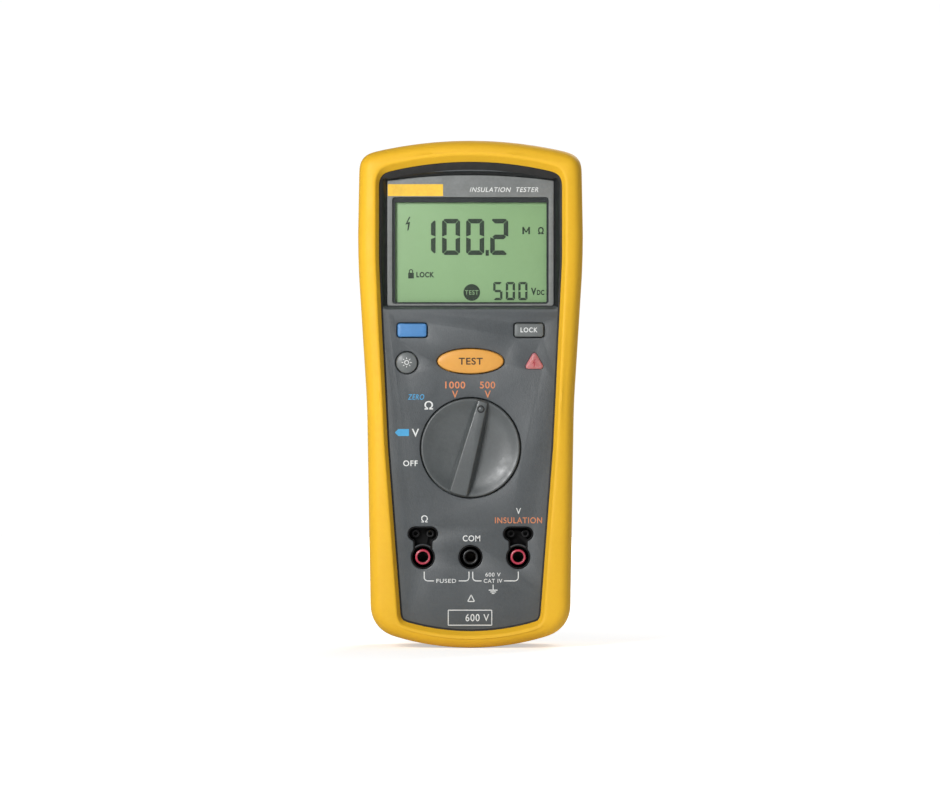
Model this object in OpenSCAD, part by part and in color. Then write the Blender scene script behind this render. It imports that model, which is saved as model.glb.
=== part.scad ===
// Handheld insulation resistance tester: soft holster, two-shell case, sunken
// display, rotary selector, four keys, shrouded input jacks, battery door with
// quarter-turn locks and a folding tilt stand.
// It stands upright: Z runs along its length, and the face looks along -Y.
// X is across the body. The origin is under the middle of its lower end.

/* [Overall] */
// Length from the lower end to the crown
body_l = 203; // [195:1:250]
// Width across the shoulders, the widest place
body_w = 90; // [84:1:112]
// Depth over the holster, from its front lip to its back lip
body_d = 50; // [48:1:64]

/* [Holster outline] */
// Width at the lower end
foot_w = 80.4; // [78:0.2:104]
// Width at the waist, below the keys
waist_w = 82.4; // [80:0.2:106]
// Width just under the crown
crown_w = 88.6; // [82:0.2:112]
// Height of the lower end's widest place
foot_z = 26; // [20:1:40]
// Height where the sides start to widen
waist_z = 85; // [60:1:100]
// Height of the widest place
shoulder_z = 165; // [130:1:175]
// Radius of the crown's flat arc
crown_r = 168; // [130:1:260]
// Radius of the lower end's arc
foot_r = 104; // [80:1:200]
// Corner radius at the crown
crown_corner = 6.5; // [6:0.5:12]
// Corner radius at the lower end
foot_corner = 12.5; // [8:0.5:18]
// Depth of the rounded edge, front and back
edge_d = 4; // [2:0.5:6]
// How far that edge draws in
edge_in = 2.6; // [1:0.2:4]
// Thickness of the holster's side wall
holster_wall = 5; // [4:0.5:6]
// Height of the front lip above the face
front_lip = 3.5; // [2.5:0.5:5]
// Height of the back lip above the case back
back_lip = 3; // [2.9:0.1:5]
// How far the back lip reaches in from the outline
back_reach = 7.5; // [6:0.5:9]

/* [Holster mouth] */
// Width of the mouth near the lower end
mouth_low_w = 58; // [56:1:66]
// Width of the mouth beside the selector
mouth_mid_w = 66.4; // [60:0.2:72]
// Width of the mouth beside the display
mouth_high_w = 73.2; // [72.6:0.2:76]
// Height where the lower width is taken
mouth_low_z = 25; // [20:1:40]
// Height where the middle width is taken
mouth_mid_z = 83; // [60:1:110]
// Height above which the mouth is straight
mouth_high_z = 155; // [140:1:170]
// Band of holster above the mouth
mouth_top = 8.6; // [7:0.2:12]
// Band of holster below the mouth
mouth_foot = 6.8; // [6:0.2:10]
// Radius of the mouth's top arc
mouth_crown_r = 138; // [110:1:260]
// Radius of the mouth's lower arc
mouth_foot_r = 90; // [70:1:200]
// Corner radius at the top of the mouth
mouth_crown_corner = 4.5; // [3:0.5:8]
// Corner radius at the lower end of the mouth
mouth_foot_corner = 2; // [1:0.5:4]
// How far the mouth's bevel flares out to the front
mouth_flare = 1.8; // [0.5:0.1:2.5]

/* [Case] */
// Depth of the front shell
front_shell_d = 18.5; // [18:0.5:21]
// Wall of both shells
case_wall = 2.5; // [2:0.1:2.6]
// Thickness of the face
face_t = 2.5; // [2:0.1:2.8]
// Thickness of the gasket between the shells
gasket_t = 0.8; // [0.5:0.1:1.2]
// Width of that gasket
gasket_w = 1.6; // [1:0.1:2]
// How far the seal's cord lies inside the case's outline
gasket_inset = 0.4; // [0.2:0.1:0.8]
// Radius of the front shell's screw bosses
boss_r = 3.6; // [3:0.1:4]
// Radius of the back shell's screw wells
screw_well_r = 4.6; // [4.2:0.1:5]

/* [Case screws] */
// Half the spacing of the upper screws
top_screw_x = 32; // [30:0.5:33]
// Height of the upper screws
top_screw_z = 187.5; // [187:0.5:189]
// Half the spacing of the lower screws
foot_screw_x = 26; // [24:0.5:27]
// Height of the lower screws
foot_screw_z = 13.5; // [13.3:0.1:14]
// Radius of the screw's head
screw_head_r = 2.8; // [2.2:0.1:3]
// Thickness of the screw's head
screw_head_t = 2.2; // [1.5:0.1:3]
// Gap around a screw's head
screw_head_gap = 0.3; // [0.2:0.1:0.4]
// Length of the crossed recess in a screw's head
recess_l = 3.4; // [2.4:0.1:3.8]
// Width of the recess's arms
recess_w = 0.7; // [0.5:0.1:0.9]
// Depth of the recess
recess_d = 1.2; // [0.8:0.1:1.3]
// Radius of the screw's shank
screw_r = 1.5; // [1.2:0.1:1.8]
// Length of the screw's shank
screw_l = 22; // [16:1:24]
// Depth of the well above the screw's head
screw_well_d = 9.8; // [6:0.2:10]

/* [Display] */
// Width of the label plate around the window
label_w = 66.6; // [65:0.2:68]
// Height of the plate's lower edge
label_low_z = 136.9; // [136.5:0.1:138]
// Height of the plate's upper edge
label_high_z = 189.2; // [184:0.2:189.4]
// Radius of the plate's upper edge
label_crown_r = 250; // [200:10:400]
// Corner radius of the plate
label_corner = 1; // [0.5:0.1:2]
// Thickness of the label plate
label_t = 1; // [0.8:0.1:1.2]
// Width of the window
window_w = 62.6; // [56:0.2:63]
// Height of the window's lower edge
window_low_z = 137.7; // [137.5:0.1:140]
// Height of the window's upper edge
window_high_z = 180.4; // [170:0.2:180.6]
// Corner radius of the window
window_corner = 1.2; // [0.6:0.1:2]
// Width of the ledge that the window rests on
window_ledge = 0.6; // [0.4:0.1:1]
// How far the label lies below the face
tub_d = 3; // [2:0.1:3.2]
// How far the sloped wall runs out at each side
tub_slope_side = 2.6; // [1:0.2:3]
// How far the sloped wall runs up above the plate
tub_slope_top = 1.6; // [1:0.2:3]
// Corner radius of the sloped wall at the face
tub_corner = 2.6; // [1:0.2:3]
// How far the sloped sill runs down below the plate
tub_slope_foot = 1.4; // [1:0.2:1.8]
// Thickness of the floor under the label
tub_floor_t = 1.5; // [1:0.1:1.6]
// Wall around the tub behind the face
tub_wall = 1.8; // [1:0.1:2]
// Margin of the display glass behind the window
glass_margin = 1.2; // [0.8:0.1:1.4]
// Thickness of the display glass
glass_t = 2; // [1.1:0.1:2]
// Thickness of the light guide behind it
guide_t = 2.4; // [1:0.1:2.6]
// How far the light guide's edge lies inside the glass's
guide_inset = 0.4; // [0.2:0.1:0.8]
// Corner radius of the glass
glass_corner = 0.6; // [0.3:0.1:1]
// Wall of the frame that holds the glass
display_frame_wall = 1.6; // [1:0.1:1.8]
// Height of a contact strip
strip_h = 1.6; // [1:0.1:2]

/* [Keys] */
// Width of the two small rectangular keys
small_key_w = 11.6; // [8:0.2:12.6]
// Height of the two small rectangular keys
small_key_h = 5.3; // [4:0.1:5.6]
// Half the spacing of the two small rectangular keys
small_key_x = 23.35; // [21:0.05:24]
// Height of the two small rectangular keys' middle
small_key_z = 127.1; // [126:0.1:127.4]
// Corner radius of the small keys
small_key_corner = 1; // [0.5:0.1:2]
// Width of the long oval test key
test_key_w = 26.4; // [20:0.2:30]
// Height of the long oval test key
test_key_h = 9.8; // [8:0.1:10.4]
// Height of the test key's middle
test_key_z = 114.7; // [114:0.1:116]
// Radius of the round lamp key
lamp_key_r = 4.2; // [3.4:0.1:4.6]
// Distance of the lamp key and the warning lamp from the middle
lamp_x = 25.5; // [25:0.1:26]
// Height of the lamp key and the warning lamp
lamp_z = 114.1; // [113:0.1:115]
// Side of the triangular warning lamp
warning_side = 8.4; // [6:0.1:9]
// How far the keys stand above the face
key_rise = 1.4; // [0.8:0.1:2]
// How far a key goes in
key_travel = 1; // [0.5:0.1:1]
// Thickness of the flange that holds a key in
key_flange_t = 1; // [0.6:0.1:1.2]
// How far that flange reaches behind the face
key_flange = 0.9; // [0.6:0.1:1]
// Radius of the stem behind a key
key_stem_r = 1.6; // [1:0.1:2]
// Length of the stem behind a key
key_stem_l = 3.2; // [2:0.1:3.4]
// Thickness of the soft mat under the keys
mat_t = 1.2; // [0.8:0.1:1.4]
// Height of that mat
mat_h = 22; // [20:0.5:22.5]
// Margin of the mat beside the lamps
mat_margin = 6.5; // [5:0.5:7]
// Radius of a dome on the mat
dome_r = 2.6; // [2:0.1:3]
// Gap left over a dome when its key is down
dome_gap = 0.3; // [0.2:0.1:0.5]
// Corner radius of the warning lens
warning_corner = 1; // [0.6:0.1:1.4]
// How far the warning lens stands above the face
warning_rise = 0.5; // [0.3:0.1:1]
// Thickness of its flange
warning_flange_t = 1; // [0.6:0.1:1.2]
// How far its flange reaches out
warning_flange = 0.7; // [0.5:0.05:0.8]
// Length of the warning LED
led_l = 6; // [4:0.5:6.5]
// Thickness of the LED's foot
led_foot_t = 1; // [0.6:0.1:1.2]
// How far its foot reaches out
led_foot = 0.4; // [0.2:0.1:0.5]
// Gap around the LED in the mat
led_gap = 1; // [0.6:0.1:1.2]
// Radius of the warning lamp's diode
led_r = 1.5; // [1:0.1:1.6]

/* [Selector] */
// Radius of the selector knob
knob_r = 19.8; // [16:0.1:23.8]
// Height of the knob's axis
knob_z = 80.1; // [79:0.1:81]
// Depth of the pocket that the knob turns in
pocket_d = 3; // [2:0.1:3.2]
// Thickness of the pocket's floor
pocket_floor_t = 2; // [1.5:0.1:2.2]
// Wall around the pocket behind the face
pocket_wall = 1.6; // [1:0.1:2]
// How far the knob's rim stands above the face
rim_rise = 1.5; // [1:0.1:2]
// Width of the knob's raised rim
rim_w = 2; // [1:0.1:3]
// Depth of the dish inside the rim
dish_d = 1.1; // [0.5:0.1:1.3]
// How far the grip bar stands above the face
grip_rise = 3.1; // [2:0.1:3.4]
// Width of the grip bar at its pointing end
grip_tip_w = 4.4; // [3.4:0.2:8]
// Width of the grip bar at its tail
grip_tail_w = 8.4; // [5:0.2:12]
// Radius of the dimple at the pointing end
dimple_r = 1.3; // [0.8:0.1:1.6]
// Distance of the dimple from the knob's edge
dimple_in = 3.8; // [3:0.1:5]
// Depth of the dimple
dimple_d = 0.6; // [0.3:0.1:0.8]
// How far the grip's ends lie inside the knob's edge
grip_inset = 0.3; // [0.2:0.1:0.6]
// Angle of the pointer to the right of straight up
pointer_a = 15; // [-15:15:15]
// Radius of the knob's hub
hub_r = 4.95; // [4:0.05:6]
// Length of the collar that the hub turns in
collar_l = 3.5; // [2.5:0.1:3.6]
// Wall of that collar
collar_wall = 2.4; // [1.5:0.1:3]
// Thickness of the seal around the hub
knob_seal_t = 0.9; // [0.6:0.1:1.2]
// Width of that seal
knob_seal_w = 1.2; // [0.8:0.1:1.4]
// Radius of the steel shaft
shaft_r = 3; // [2:0.1:3.6]
// Gap around the shaft in the main board
shaft_hole_gap = 0.5; // [0.3:0.1:0.8]
// Gap between the shaft's end and the main board
shaft_end_gap = 0.3; // [0.2:0.1:0.5]
// Radius of the rotor behind the face
rotor_r = 15; // [12:0.5:17]
// Thickness of the rotor
rotor_t = 2.4; // [1.5:0.1:2.6]
// Height of the rotor's wiping contacts
wiper_t = 1.9; // [1:0.1:1.9]
// Gap between the wipers and the main board
wiper_gap = 0.6; // [0.4:0.1:0.8]
// Radius of the innermost wiper's track
wiper_in_r = 6.5; // [6:0.5:7]
// Spacing of the wipers' tracks
wiper_pitch = 3; // [2:0.5:3]
// Angle of the innermost wiper
wiper_a = 260; // [0:10:350]
// Length of a wiper
wiper_l = 5.2; // [4:0.2:6]
// Width of a wiper
wiper_w = 1.4; // [1:0.1:1.8]
// Thickness of the shaft's clip
clip_t = 0.6; // [0.4:0.1:0.8]
// Width of the clip
clip_w = 1.6; // [1:0.1:2]
// Angle between two settings
detent_step = 30; // [15:5:30]
// Radius of the circle of detent dimples
detent_r = 11.5; // [9:0.5:12]
// Number of settings
setting_count = 5; // [3:1:5]
// Depth of a detent pit
pit_d = 0.4; // [0.2:0.1:0.6]
// Radius of a detent pit
pit_r = 0.8; // [0.6:0.1:1]
// Radius of the detent ball
ball_r = 0.6; // [0.4:0.1:0.6]
// Thickness of the detent leaf
leaf_t = 0.4; // [0.2:0.1:0.4]
// Width of the detent leaf
leaf_w = 4; // [3:0.5:5]
// Height of the leaf's open end below the axis
leaf_open = 4; // [2:0.5:6]

/* [Jacks] */
// Spacing of the jacks
jack_pitch = 19.05; // [18:0.05:19.4]
// Height of the jacks
jack_z = 36.4; // [36:0.1:37]
// Radius of the well that takes a plug's shroud
jack_well_r = 4.25; // [4:0.05:4.6]
// Wall of the black collar around a well
jack_collar_wall = 0.45; // [0.4:0.05:0.8]
// Depth of the wells
jack_well_d = 18; // [16:0.5:18.5]
// Radius of the coloured post in a well
jack_post_r = 3.1; // [2.9:0.05:3.4]
// How far the post's end lies below the face
jack_post_sink = 1; // [0.5:0.1:3]
// Bore of the post and its contact sleeve, for a 4 mm plug
sleeve_bore_r = 2.05; // [2.01:0.01:2.1]
// Wall of the contact sleeve
sleeve_wall = 0.5; // [0.4:0.05:0.6]
// Length of the contact sleeve
sleeve_l = 14; // [10:0.5:15]
// Floor of a contact sleeve
sleeve_floor_t = 0.5; // [0.3:0.1:0.8]
// Radius of the pin behind a sleeve
pin_r = 1; // [0.6:0.1:1.2]
// How far that pin stands out of the input board
pin_out = 0.6; // [0.3:0.1:0.8]
// Width of the black slot above an outer jack
slot_w = 11; // [10:0.2:12]
// Height of that slot
slot_h = 4.7; // [4.6:0.1:5.4]
// Height of the slot's middle above the jack
slot_up = 9.3; // [9:0.1:9.8]
// Depth of the slot
slot_d = 8; // [6:0.5:9]
// Width of the neck from the slot to the jack
neck_w = 6.4; // [4:0.2:7]
// Radius of the hollow corners between slot, neck and well
neck_fillet = 1.4; // [0.5:0.1:2]
// How far the well's wall lies below the face in the neck
ridge_sink = 1.2; // [0.5:0.1:2]
// Thickness of the well's wall in the neck
ridge_t = 0.9; // [0.5:0.1:1]
// Half the spacing of a slot's two small sockets
socket_x = 2.95; // [2.6:0.05:3.2]
// Bore of a small socket
socket_bore_r = 0.85; // [0.6:0.05:1]
// Outer radius of a small socket
socket_r = 1.5; // [1.3:0.05:1.7]
// Length of a small socket
socket_l = 7; // [5:0.5:8]
// How far a small socket stands above the slot's floor
socket_rise = 2.5; // [0.5:0.5:3]
// Floor of a small socket
socket_floor_t = 0.5; // [0.3:0.1:0.8]
// Margin of the block that holds the jacks, beside the slots
block_side_margin = 3; // [1:0.5:4]
// Margin of that block below the jacks and above the slots
block_margin = 3.6; // [2:0.1:4]
// Thickness of that block behind the wells
block_back_t = 2.5; // [1.5:0.1:3]
// Corner radius of that block
block_corner = 2; // [1:0.5:3]

/* [Boards] */
// Thickness of the circuit boards
board_t = 1.6; // [1:0.1:1.6]
// Gap from the face's front to the main board
main_board_depth = 12; // [11.8:0.1:12.2]
// Height of the main board's lower edge
main_board_low_z = 54.5; // [54.4:0.1:56]
// Gap between the main board's edge and the case
board_gap = 1.2; // [0.8:0.1:2]
// Width of the input board
input_board_w = 60; // [56:1:62]
// Height of the input board's lower edge
input_board_low_z = 20; // [19:0.5:21]
// Height of the input board's upper edge
input_board_high_z = 58.5; // [58:0.5:59]
// Half the spacing of the main board's screws
board_screw_x = 30; // [29:0.5:30.5]
// Heights of the main board's screws
board_screw_zs = [63, 105.5];
// Radius of the standoffs under the board
standoff_r = 2.4; // [2:0.1:2.6]
// Radius of a board screw
board_screw_r = 1; // [0.8:0.1:1.2]
// Length of a board screw inside its standoff
board_screw_l = 5; // [4:0.5:6]
// Radius of a board screw's head
board_screw_head_r = 2.1; // [1.8:0.1:2.3]
// Thickness of that head
board_screw_head_t = 1.4; // [1:0.1:1.6]
// Width of the connector between the boards
connector_w = 28; // [16:1:32]
// How far the connector lies inside the two boards' overlap
connector_inset = 0.4; // [0.2:0.1:0.6]
// Length of the fuse
fuse_l = 32; // [20:1:34]
// Radius of the fuse
fuse_r = 3.15; // [2.6:0.05:3.4]
// Height of the fuse's axis
fuse_z = 35; // [34.5:0.1:35.5]
// Gap from the input board to the fuse
fuse_gap = 1; // [0.8:0.1:2]
// Length of a fuse's cap
fuse_cap_l = 6; // [4:0.5:7]
// Step from the cap to the glass
fuse_step = 0.25; // [0.1:0.05:0.4]
// Length of a fuse clip
fuse_clip_l = 5; // [3:0.5:5]
// Thickness of a fuse clip
fuse_clip_t = 0.5; // [0.3:0.1:0.6]
// Height of a clip's wings above its foot
fuse_clip_h = 4.4; // [3:0.1:5]
// Side of the microcontroller
chip_w = 14; // [7:1:16]
// Thickness of the microcontroller
chip_t = 1.4; // [0.8:0.1:2]
// Height of the microcontroller's middle
chip_z = 128; // [120:1:134]
// Width and height of the transformer's core
core_w = 20; // [14:1:22]
// Depth of the transformer's core
core_d = 15; // [10:0.5:18]
// How far the winding stands out at each side of the core
winding_out = 2; // [1:0.5:3]
// Depth of the winding
winding_d = 9; // [6:0.5:12]
// Height of the winding
winding_h = 14; // [10:0.5:18]
// Distance of the transformer's middle from the tester's middle
transformer_x = -16; // [-18:1:-14]
// Height of the transformer's middle
transformer_z = 154; // [150:1:160]
// Radius of a high-voltage capacitor
capacitor_r = 6.2; // [4:0.1:6.6]
// Length of a high-voltage capacitor
capacitor_l = 17; // [10:0.5:19]
// Gap between two capacitors
capacitor_gap = 1.6; // [0.6:0.1:2]
// Distance of the capacitors' middle from the tester's middle
capacitor_x = 13; // [12:0.5:15]
// Height of the lower pair of capacitors
capacitor_z = 152; // [148:1:156]
// Width of a relay
relay_w = 12; // [8:0.5:14]
// Height of a relay
relay_h = 20; // [14:0.5:24]
// Depth of a relay
relay_d = 7.5; // [5:0.5:8]
// Spacing of the three relays
relay_pitch = 18; // [16:0.5:19]
// Height of the relays' middle
relay_z = 74; // [72:1:80]
// Radius of the buzzer
buzzer_r = 7; // [5:0.5:8]
// Depth of the buzzer
buzzer_d = 5; // [3:0.5:7]
// Radius of the buzzer's sound hole
buzzer_hole_r = 1; // [0.6:0.1:1.4]
// Distance of the buzzer from the tester's middle
buzzer_x = 19; // [17:0.5:22]

/* [Batteries] */
// Number of cells side by side
cell_count = 4; // [2:2:4]
// Radius of a cell
cell_r = 7.25; // [6:0.05:7.25]
// Length of a cell, with its nub
cell_l = 50.5; // [44:0.5:51]
// Gap between two cells
cell_gap = 0.3; // [0.2:0.05:0.4]
// Height of the cells' lower end
cell_low_z = 46.2; // [46:0.1:47]
// Room for the springs and contacts at each end of the cells
contact_room = 4.6; // [4:0.1:5]
// Thickness of the battery contacts
contact_t = 0.4; // [0.2:0.1:0.6]
// Length of a cell's nub
nub_l = 1; // [0.8:0.1:1.4]
// Radius of a cell's nub
nub_r = 2.7; // [2.5:0.1:2.9]
// Outer radius of a spring at the contact plate
spring_foot_r = 4.5; // [3.6:0.1:5]
// Outer radius of a spring at the cell
spring_tip_r = 2.6; // [2.2:0.1:3]
// Inner radius of a spring
spring_in_r = 1.8; // [1.4:0.1:2]
// Radius of a raised contact
contact_r = 1.6; // [1:0.1:2.2]
// How far a contact plate lies inside its cell's outline
contact_inset = 0.6; // [0.3:0.1:1]
// Gap between a cell and the tray's floor or the seat
cell_clear = 0.3; // [0.2:0.05:0.4]
// Corner radius of the tray
tray_corner = 1; // [0.5:0.1:1.4]
// Thickness of the insulating sheet
sheet_t = 0.4; // [0.2:0.1:0.5]
// Gap between the sheet and the input board
sheet_gap = 1; // [0.6:0.1:1.4]
// Wall of the battery tray
tray_wall = 1.5; // [1:0.1:1.8]

/* [Battery door] */
// Width of the door
door_w = 63; // [62.6:0.2:64]
// Height of the door's lower edge
door_low_z = 19; // [18.5:0.1:19.5]
// How far the door reaches above the battery tray, which leaves room for its upper lock
door_over_tray = 10.7; // [10.5:0.1:11]
// Thickness of the door
door_t = 2.2; // [2:0.1:2.4]
// Corner radius of the door
door_corner = 4; // [2:0.5:6]
// Thickness of the seat plate under the door
seat_t = 1.5; // [1.2:0.1:1.8]
// Rim of the door's recess
seat_rim = 1.2; // [1:0.1:1.4]
// Room beside the fuse in the seat's opening
fuse_room_side = 5; // [3:0.5:6]
// Room above and below the fuse in that opening
fuse_room = 1.6; // [1:0.1:2]
// Width of the door's gasket
door_gasket_w = 1.2; // [0.8:0.1:1.4]
// Thickness of the door's gasket
door_gasket_t = 0.5; // [0.3:0.1:0.6]
// How far the door's seal lies inside its edge
door_gasket_inset = 0.2; // [0.1:0.1:0.4]
// Number of grip grooves under the door's upper lock
grip_count = 4; // [2:1:6]
// Width of a grip groove
grip_w = 24; // [16:1:40]
// Height of a grip groove
grip_h = 1.4; // [1:0.1:2]
// Depth of a grip groove
grip_d = 0.5; // [0.3:0.1:0.8]
// Distance of a lock from the door's edge
lock_edge = 5.2; // [5:0.1:6]
// Radius of a lock's head
lock_head_r = 4.2; // [3.4:0.1:4.3]
// Thickness of a lock's head
lock_head_t = 1.1; // [0.8:0.1:1.2]
// Radius of a lock's shank
lock_r = 2.2; // [1.8:0.1:2.4]
// Length of a lock's cam
cam_l = 7.4; // [6:0.2:7.6]
// Width of a lock's cam
cam_w = 2.8; // [2:0.1:3]
// Thickness of a lock's cam
cam_t = 1.3; // [1:0.1:1.6]
// Gap around a cam in its slot
cam_gap = 0.4; // [0.3:0.1:0.5]
// Gap between a cam and the seat
cam_clear = 0.3; // [0.2:0.1:0.4]
// How far a lock's head lies below the door's face
lock_sink = 0.05; // [0.05:0.05:0.2]
// Length of the slot for a coin
coin_slot_l = 6.4; // [5:0.2:7]
// Width of that slot
coin_slot_w = 1.2; // [1:0.1:1.6]
// Depth of that slot
coin_slot_d = 0.8; // [0.5:0.1:0.9]

/* [Tilt stand] */
// Width of the stand
stand_w = 52; // [44:1:54]
// Gap between the door and the stand's free end when folded
stand_over_door = 4.5; // [3:0.5:6]
// Height of its hinge
stand_hinge_z = 177; // [170:0.5:177.5]
// Thickness of the stand
stand_t = 2.1; // [1.6:0.1:2.2]
// Radius of its hinge barrel
barrel_r = 1.4; // [1.35:0.05:1.45]
// Radius of its hinge pin
stand_pin_r = 0.8; // [0.6:0.05:0.9]
// Width of a hinge lug on the case
lug_w = 4; // [3:0.5:5]
// Height of a lug, above and below the hinge
lug_h = 2.2; // [2:0.1:3]
// How far the lugs and the barrel lie below the back lip
hinge_sink = 0.1; // [0.05:0.05:0.3]
// How far the pin's ends lie inside the lugs
pin_end_gap = 0.2; // [0.1:0.1:0.5]
// Radius of the finger notch in the free end
notch_r = 8; // [5:0.5:9]
// Corner radius of the stand's free end
stand_corner = 4; // [2:0.5:6]
// Height of the stand's square shoulder under the hinge
shoulder_h = 12; // [8:1:16]
// Width of each of the two sunken panels in the stand
panel_w = 14; // [8:1:16]
// Depth of those panels
panel_d = 0.6; // [0.3:0.1:1]
// Corner radius of those panels
panel_corner = 2; // [1:0.5:3]

/* [Fits] */
// Gap between holster and case
boot_gap = 0.1; // [0.05:0.05:0.2]
// Gap around a piece that is laid in
lay_gap = 0.1; // [0.05:0.05:0.2]
// Gap between a moving piece and its opening
move_gap = 0.35; // [0.3:0.05:0.4]
// Running clearance of a shaft, on the radius
run_gap = 0.05; // [0.02:0.01:0.08]
// Gap around the knob
knob_gap = 0.4; // [0.3:0.05:0.6]

/* [Hidden] */
$fn = 48;
cut = 1; // overshoot of a cut past the solid it cuts
join = 0.5; // how far a boss runs into the wall it stands on
slice = 0.1; // thickness of an end slice of a hull, and of a short overlap
mid_z = body_l / 2;

// Planes through the depth, from the front to the back
front_y = -body_d / 2;
back_y = body_d / 2;
face_y = front_y + front_lip;
face_in_y = face_y + face_t;
tub_y = face_y + tub_d;
tub_floor_y = tub_y + label_t;
tub_back_y = tub_floor_y + tub_floor_t;
glass_y = tub_back_y + lay_gap;
guide_y = glass_y + glass_t + lay_gap;
pocket_y = face_y + pocket_d;
pocket_back_y = pocket_y + pocket_floor_t;
collar_end_y = pocket_y + collar_l;
knob_y = pocket_y - knob_gap;
rotor_y = collar_end_y + knob_gap;
rotor_back_y = rotor_y + rotor_t;
board_y = face_y + main_board_depth;
board_back_y = board_y + board_t;
main_board_high_z = top_screw_z - boss_r - board_gap;
seam_y = face_y + front_shell_d;
seam_back_y = seam_y + gasket_t;
block_back_y = face_y + jack_well_d + block_back_t;
input_board_y = block_back_y;
input_board_back_y = input_board_y + board_t;
case_back_y = back_y - back_lip;
case_back_in_y = case_back_y - case_wall;
door_y = case_back_y - door_t;
seat_y = door_y - door_gasket_t - move_gap;
seat_in_y = seat_y - seat_t;
stand_y = case_back_y + move_gap;
hinge_y = back_y - barrel_r - hinge_sink;

// Battery tray
cell_pitch = 2 * cell_r + cell_gap;
cell_y = seat_y - cell_r - cell_clear;
tray_in_w = cell_count * cell_pitch + 2 * cell_gap;
tray_low_z = cell_low_z - contact_room;
tray_high_z = cell_low_z + cell_l + contact_room;
tray_floor_y = cell_y - cell_r - cell_clear;
door_high_z = tray_high_z + door_over_tray;
stand_low_z = door_high_z + stand_over_door;

// Jacks
jack_xs = [-jack_pitch, 0, jack_pitch];
outer_xs = [-jack_pitch, jack_pitch];
well_y = face_y + jack_well_d;
post_y = face_y + jack_post_sink;
sleeve_y = well_y - sleeve_l;
slot_z = jack_z + slot_up;
slot_y = face_y + slot_d;
block_w = 2 * (jack_pitch + slot_w / 2 + jack_collar_wall + block_side_margin);
block_low_z = jack_z - jack_well_r - jack_collar_wall - block_margin;
block_high_z = slot_z + slot_h / 2 + jack_collar_wall + block_margin;

// Outline of the holster
function mix(a, b, t) = a + (b - a) * t;
function ease(t) = t * t * (3 - 2 * t);
function side_x(z) =
    z < waist_z ? mix(foot_w, waist_w, (z - foot_z) / (waist_z - foot_z)) / 2
    : z < shoulder_z ? mix(waist_w, body_w, ease((z - waist_z) / (shoulder_z - waist_z))) / 2
    : mix(body_w, crown_w, (z - shoulder_z) / (body_l - shoulder_z)) / 2;
side_steps = 10;
side_zs = concat(
    [-cut],
    [for (i = [0:side_steps]) mix(waist_z, shoulder_z, i / side_steps)],
    [body_l + cut]
);

// Outline of the holster's mouth: its half width is a parabola through three widths
function mouth_x(z) =
    let (a = mouth_low_z, b = mouth_mid_z, c = mouth_high_z)
    (mouth_low_w * (z - b) * (z - c) / ((a - b) * (a - c))
    + mouth_mid_w * (z - a) * (z - c) / ((b - a) * (b - c))
    + mouth_high_w * (z - a) * (z - b) / ((c - a) * (c - b))) / 2;
mouth_steps = 8;
mouth_zs = concat(
    [for (i = [0:mouth_steps]) mix(mouth_foot, mouth_high_z, i / mouth_steps)],
    [body_l]
);

// A flat shape of X and Z, made solid from depth y0 to depth y1
module slab(y0, y1) {
    translate([0, y1, 0]) rotate([90, 0, 0]) linear_extrude(y1 - y0) children();
}

module rod(x, z, y0, y1, r) {
    translate([x, y1, z]) rotate([90, 0, 0]) cylinder(h = y1 - y0, r = r);
}

module cross_rod(x0, x1, y, z, r) {
    translate([x0, y, z]) rotate([0, 90, 0]) cylinder(h = x1 - x0, r = r);
}

module block(x0, x1, y0, y1, z0, z1) {
    translate([x0, y0, z0]) cube([x1 - x0, y1 - y0, z1 - z0]);
}

module at(x, z) {
    translate([x, z]) children();
}

module rounded_box(w, h, r) {
    square([w - 2 * r, h], center = true);
    square([w, h - 2 * r], center = true);
    for (x = [-1, 1], z = [-1, 1]) translate([x * (w / 2 - r), z * (h / 2 - r)]) circle(r);
}

// A rounded rectangle that spans two heights
module panel(w, low_z, high_z, r) {
    at(0, (low_z + high_z) / 2) rounded_box(w, high_z - low_z, r);
}

module stadium(w, h) {
    square([w - h, h], center = true);
    for (x = [-1, 1]) translate([x * (w - h) / 2, 0]) circle(h / 2);
}

module oval(w, h) {
    polygon([for (a = [0:6:354]) [w / 2 * cos(a), h / 2 * sin(a)]]);
}

module triangle(side, r) {
    inner = side / sqrt(3) - 2 * r;
    polygon([for (a = [90, 210, 330], b = [-60:20:60])
        [inner * cos(a) + r * cos(a + b), inner * sin(a) + r * sin(a + b)]]);
}

module mirrored_outline(zs, xs) {
    last = len(zs) - 1;
    right = [for (i = [0:last]) [xs[i], zs[i]]];
    left = [for (i = [last:-1:0]) [-xs[i], zs[i]]];
    polygon(concat(right, left));
}

// Rounds a shape's corners, with one radius above split_z and another below it
module corners(high_r, low_r, split_z) {
    intersection() {
        offset(r = high_r) offset(delta = -high_r) children();
        translate([-body_w, split_z]) square([2 * body_w, body_l]);
    }
    intersection() {
        offset(r = low_r) offset(delta = -low_r) children();
        translate([-body_w, split_z - body_l]) square([2 * body_w, body_l]);
    }
}

// Everything above a lower end that is an arc
module above_arc(z, r) {
    translate([0, z + r]) circle(r, $fn = 120);
    translate([-body_w, z + r]) square([2 * body_w, body_l]);
}

module sharp_body() {
    intersection() {
        mirrored_outline(side_zs, [for (z = side_zs) side_x(z)]);
        translate([0, body_l - crown_r]) circle(crown_r, $fn = 152);
        above_arc(0, foot_r);
    }
}

module sharp_mouth() {
    intersection() {
        mirrored_outline(mouth_zs, [for (z = mouth_zs) mouth_x(min(z, mouth_high_z))]);
        translate([0, body_l - mouth_top - mouth_crown_r]) circle(mouth_crown_r, $fn = 152);
        above_arc(mouth_foot, mouth_foot_r);
    }
}

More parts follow.
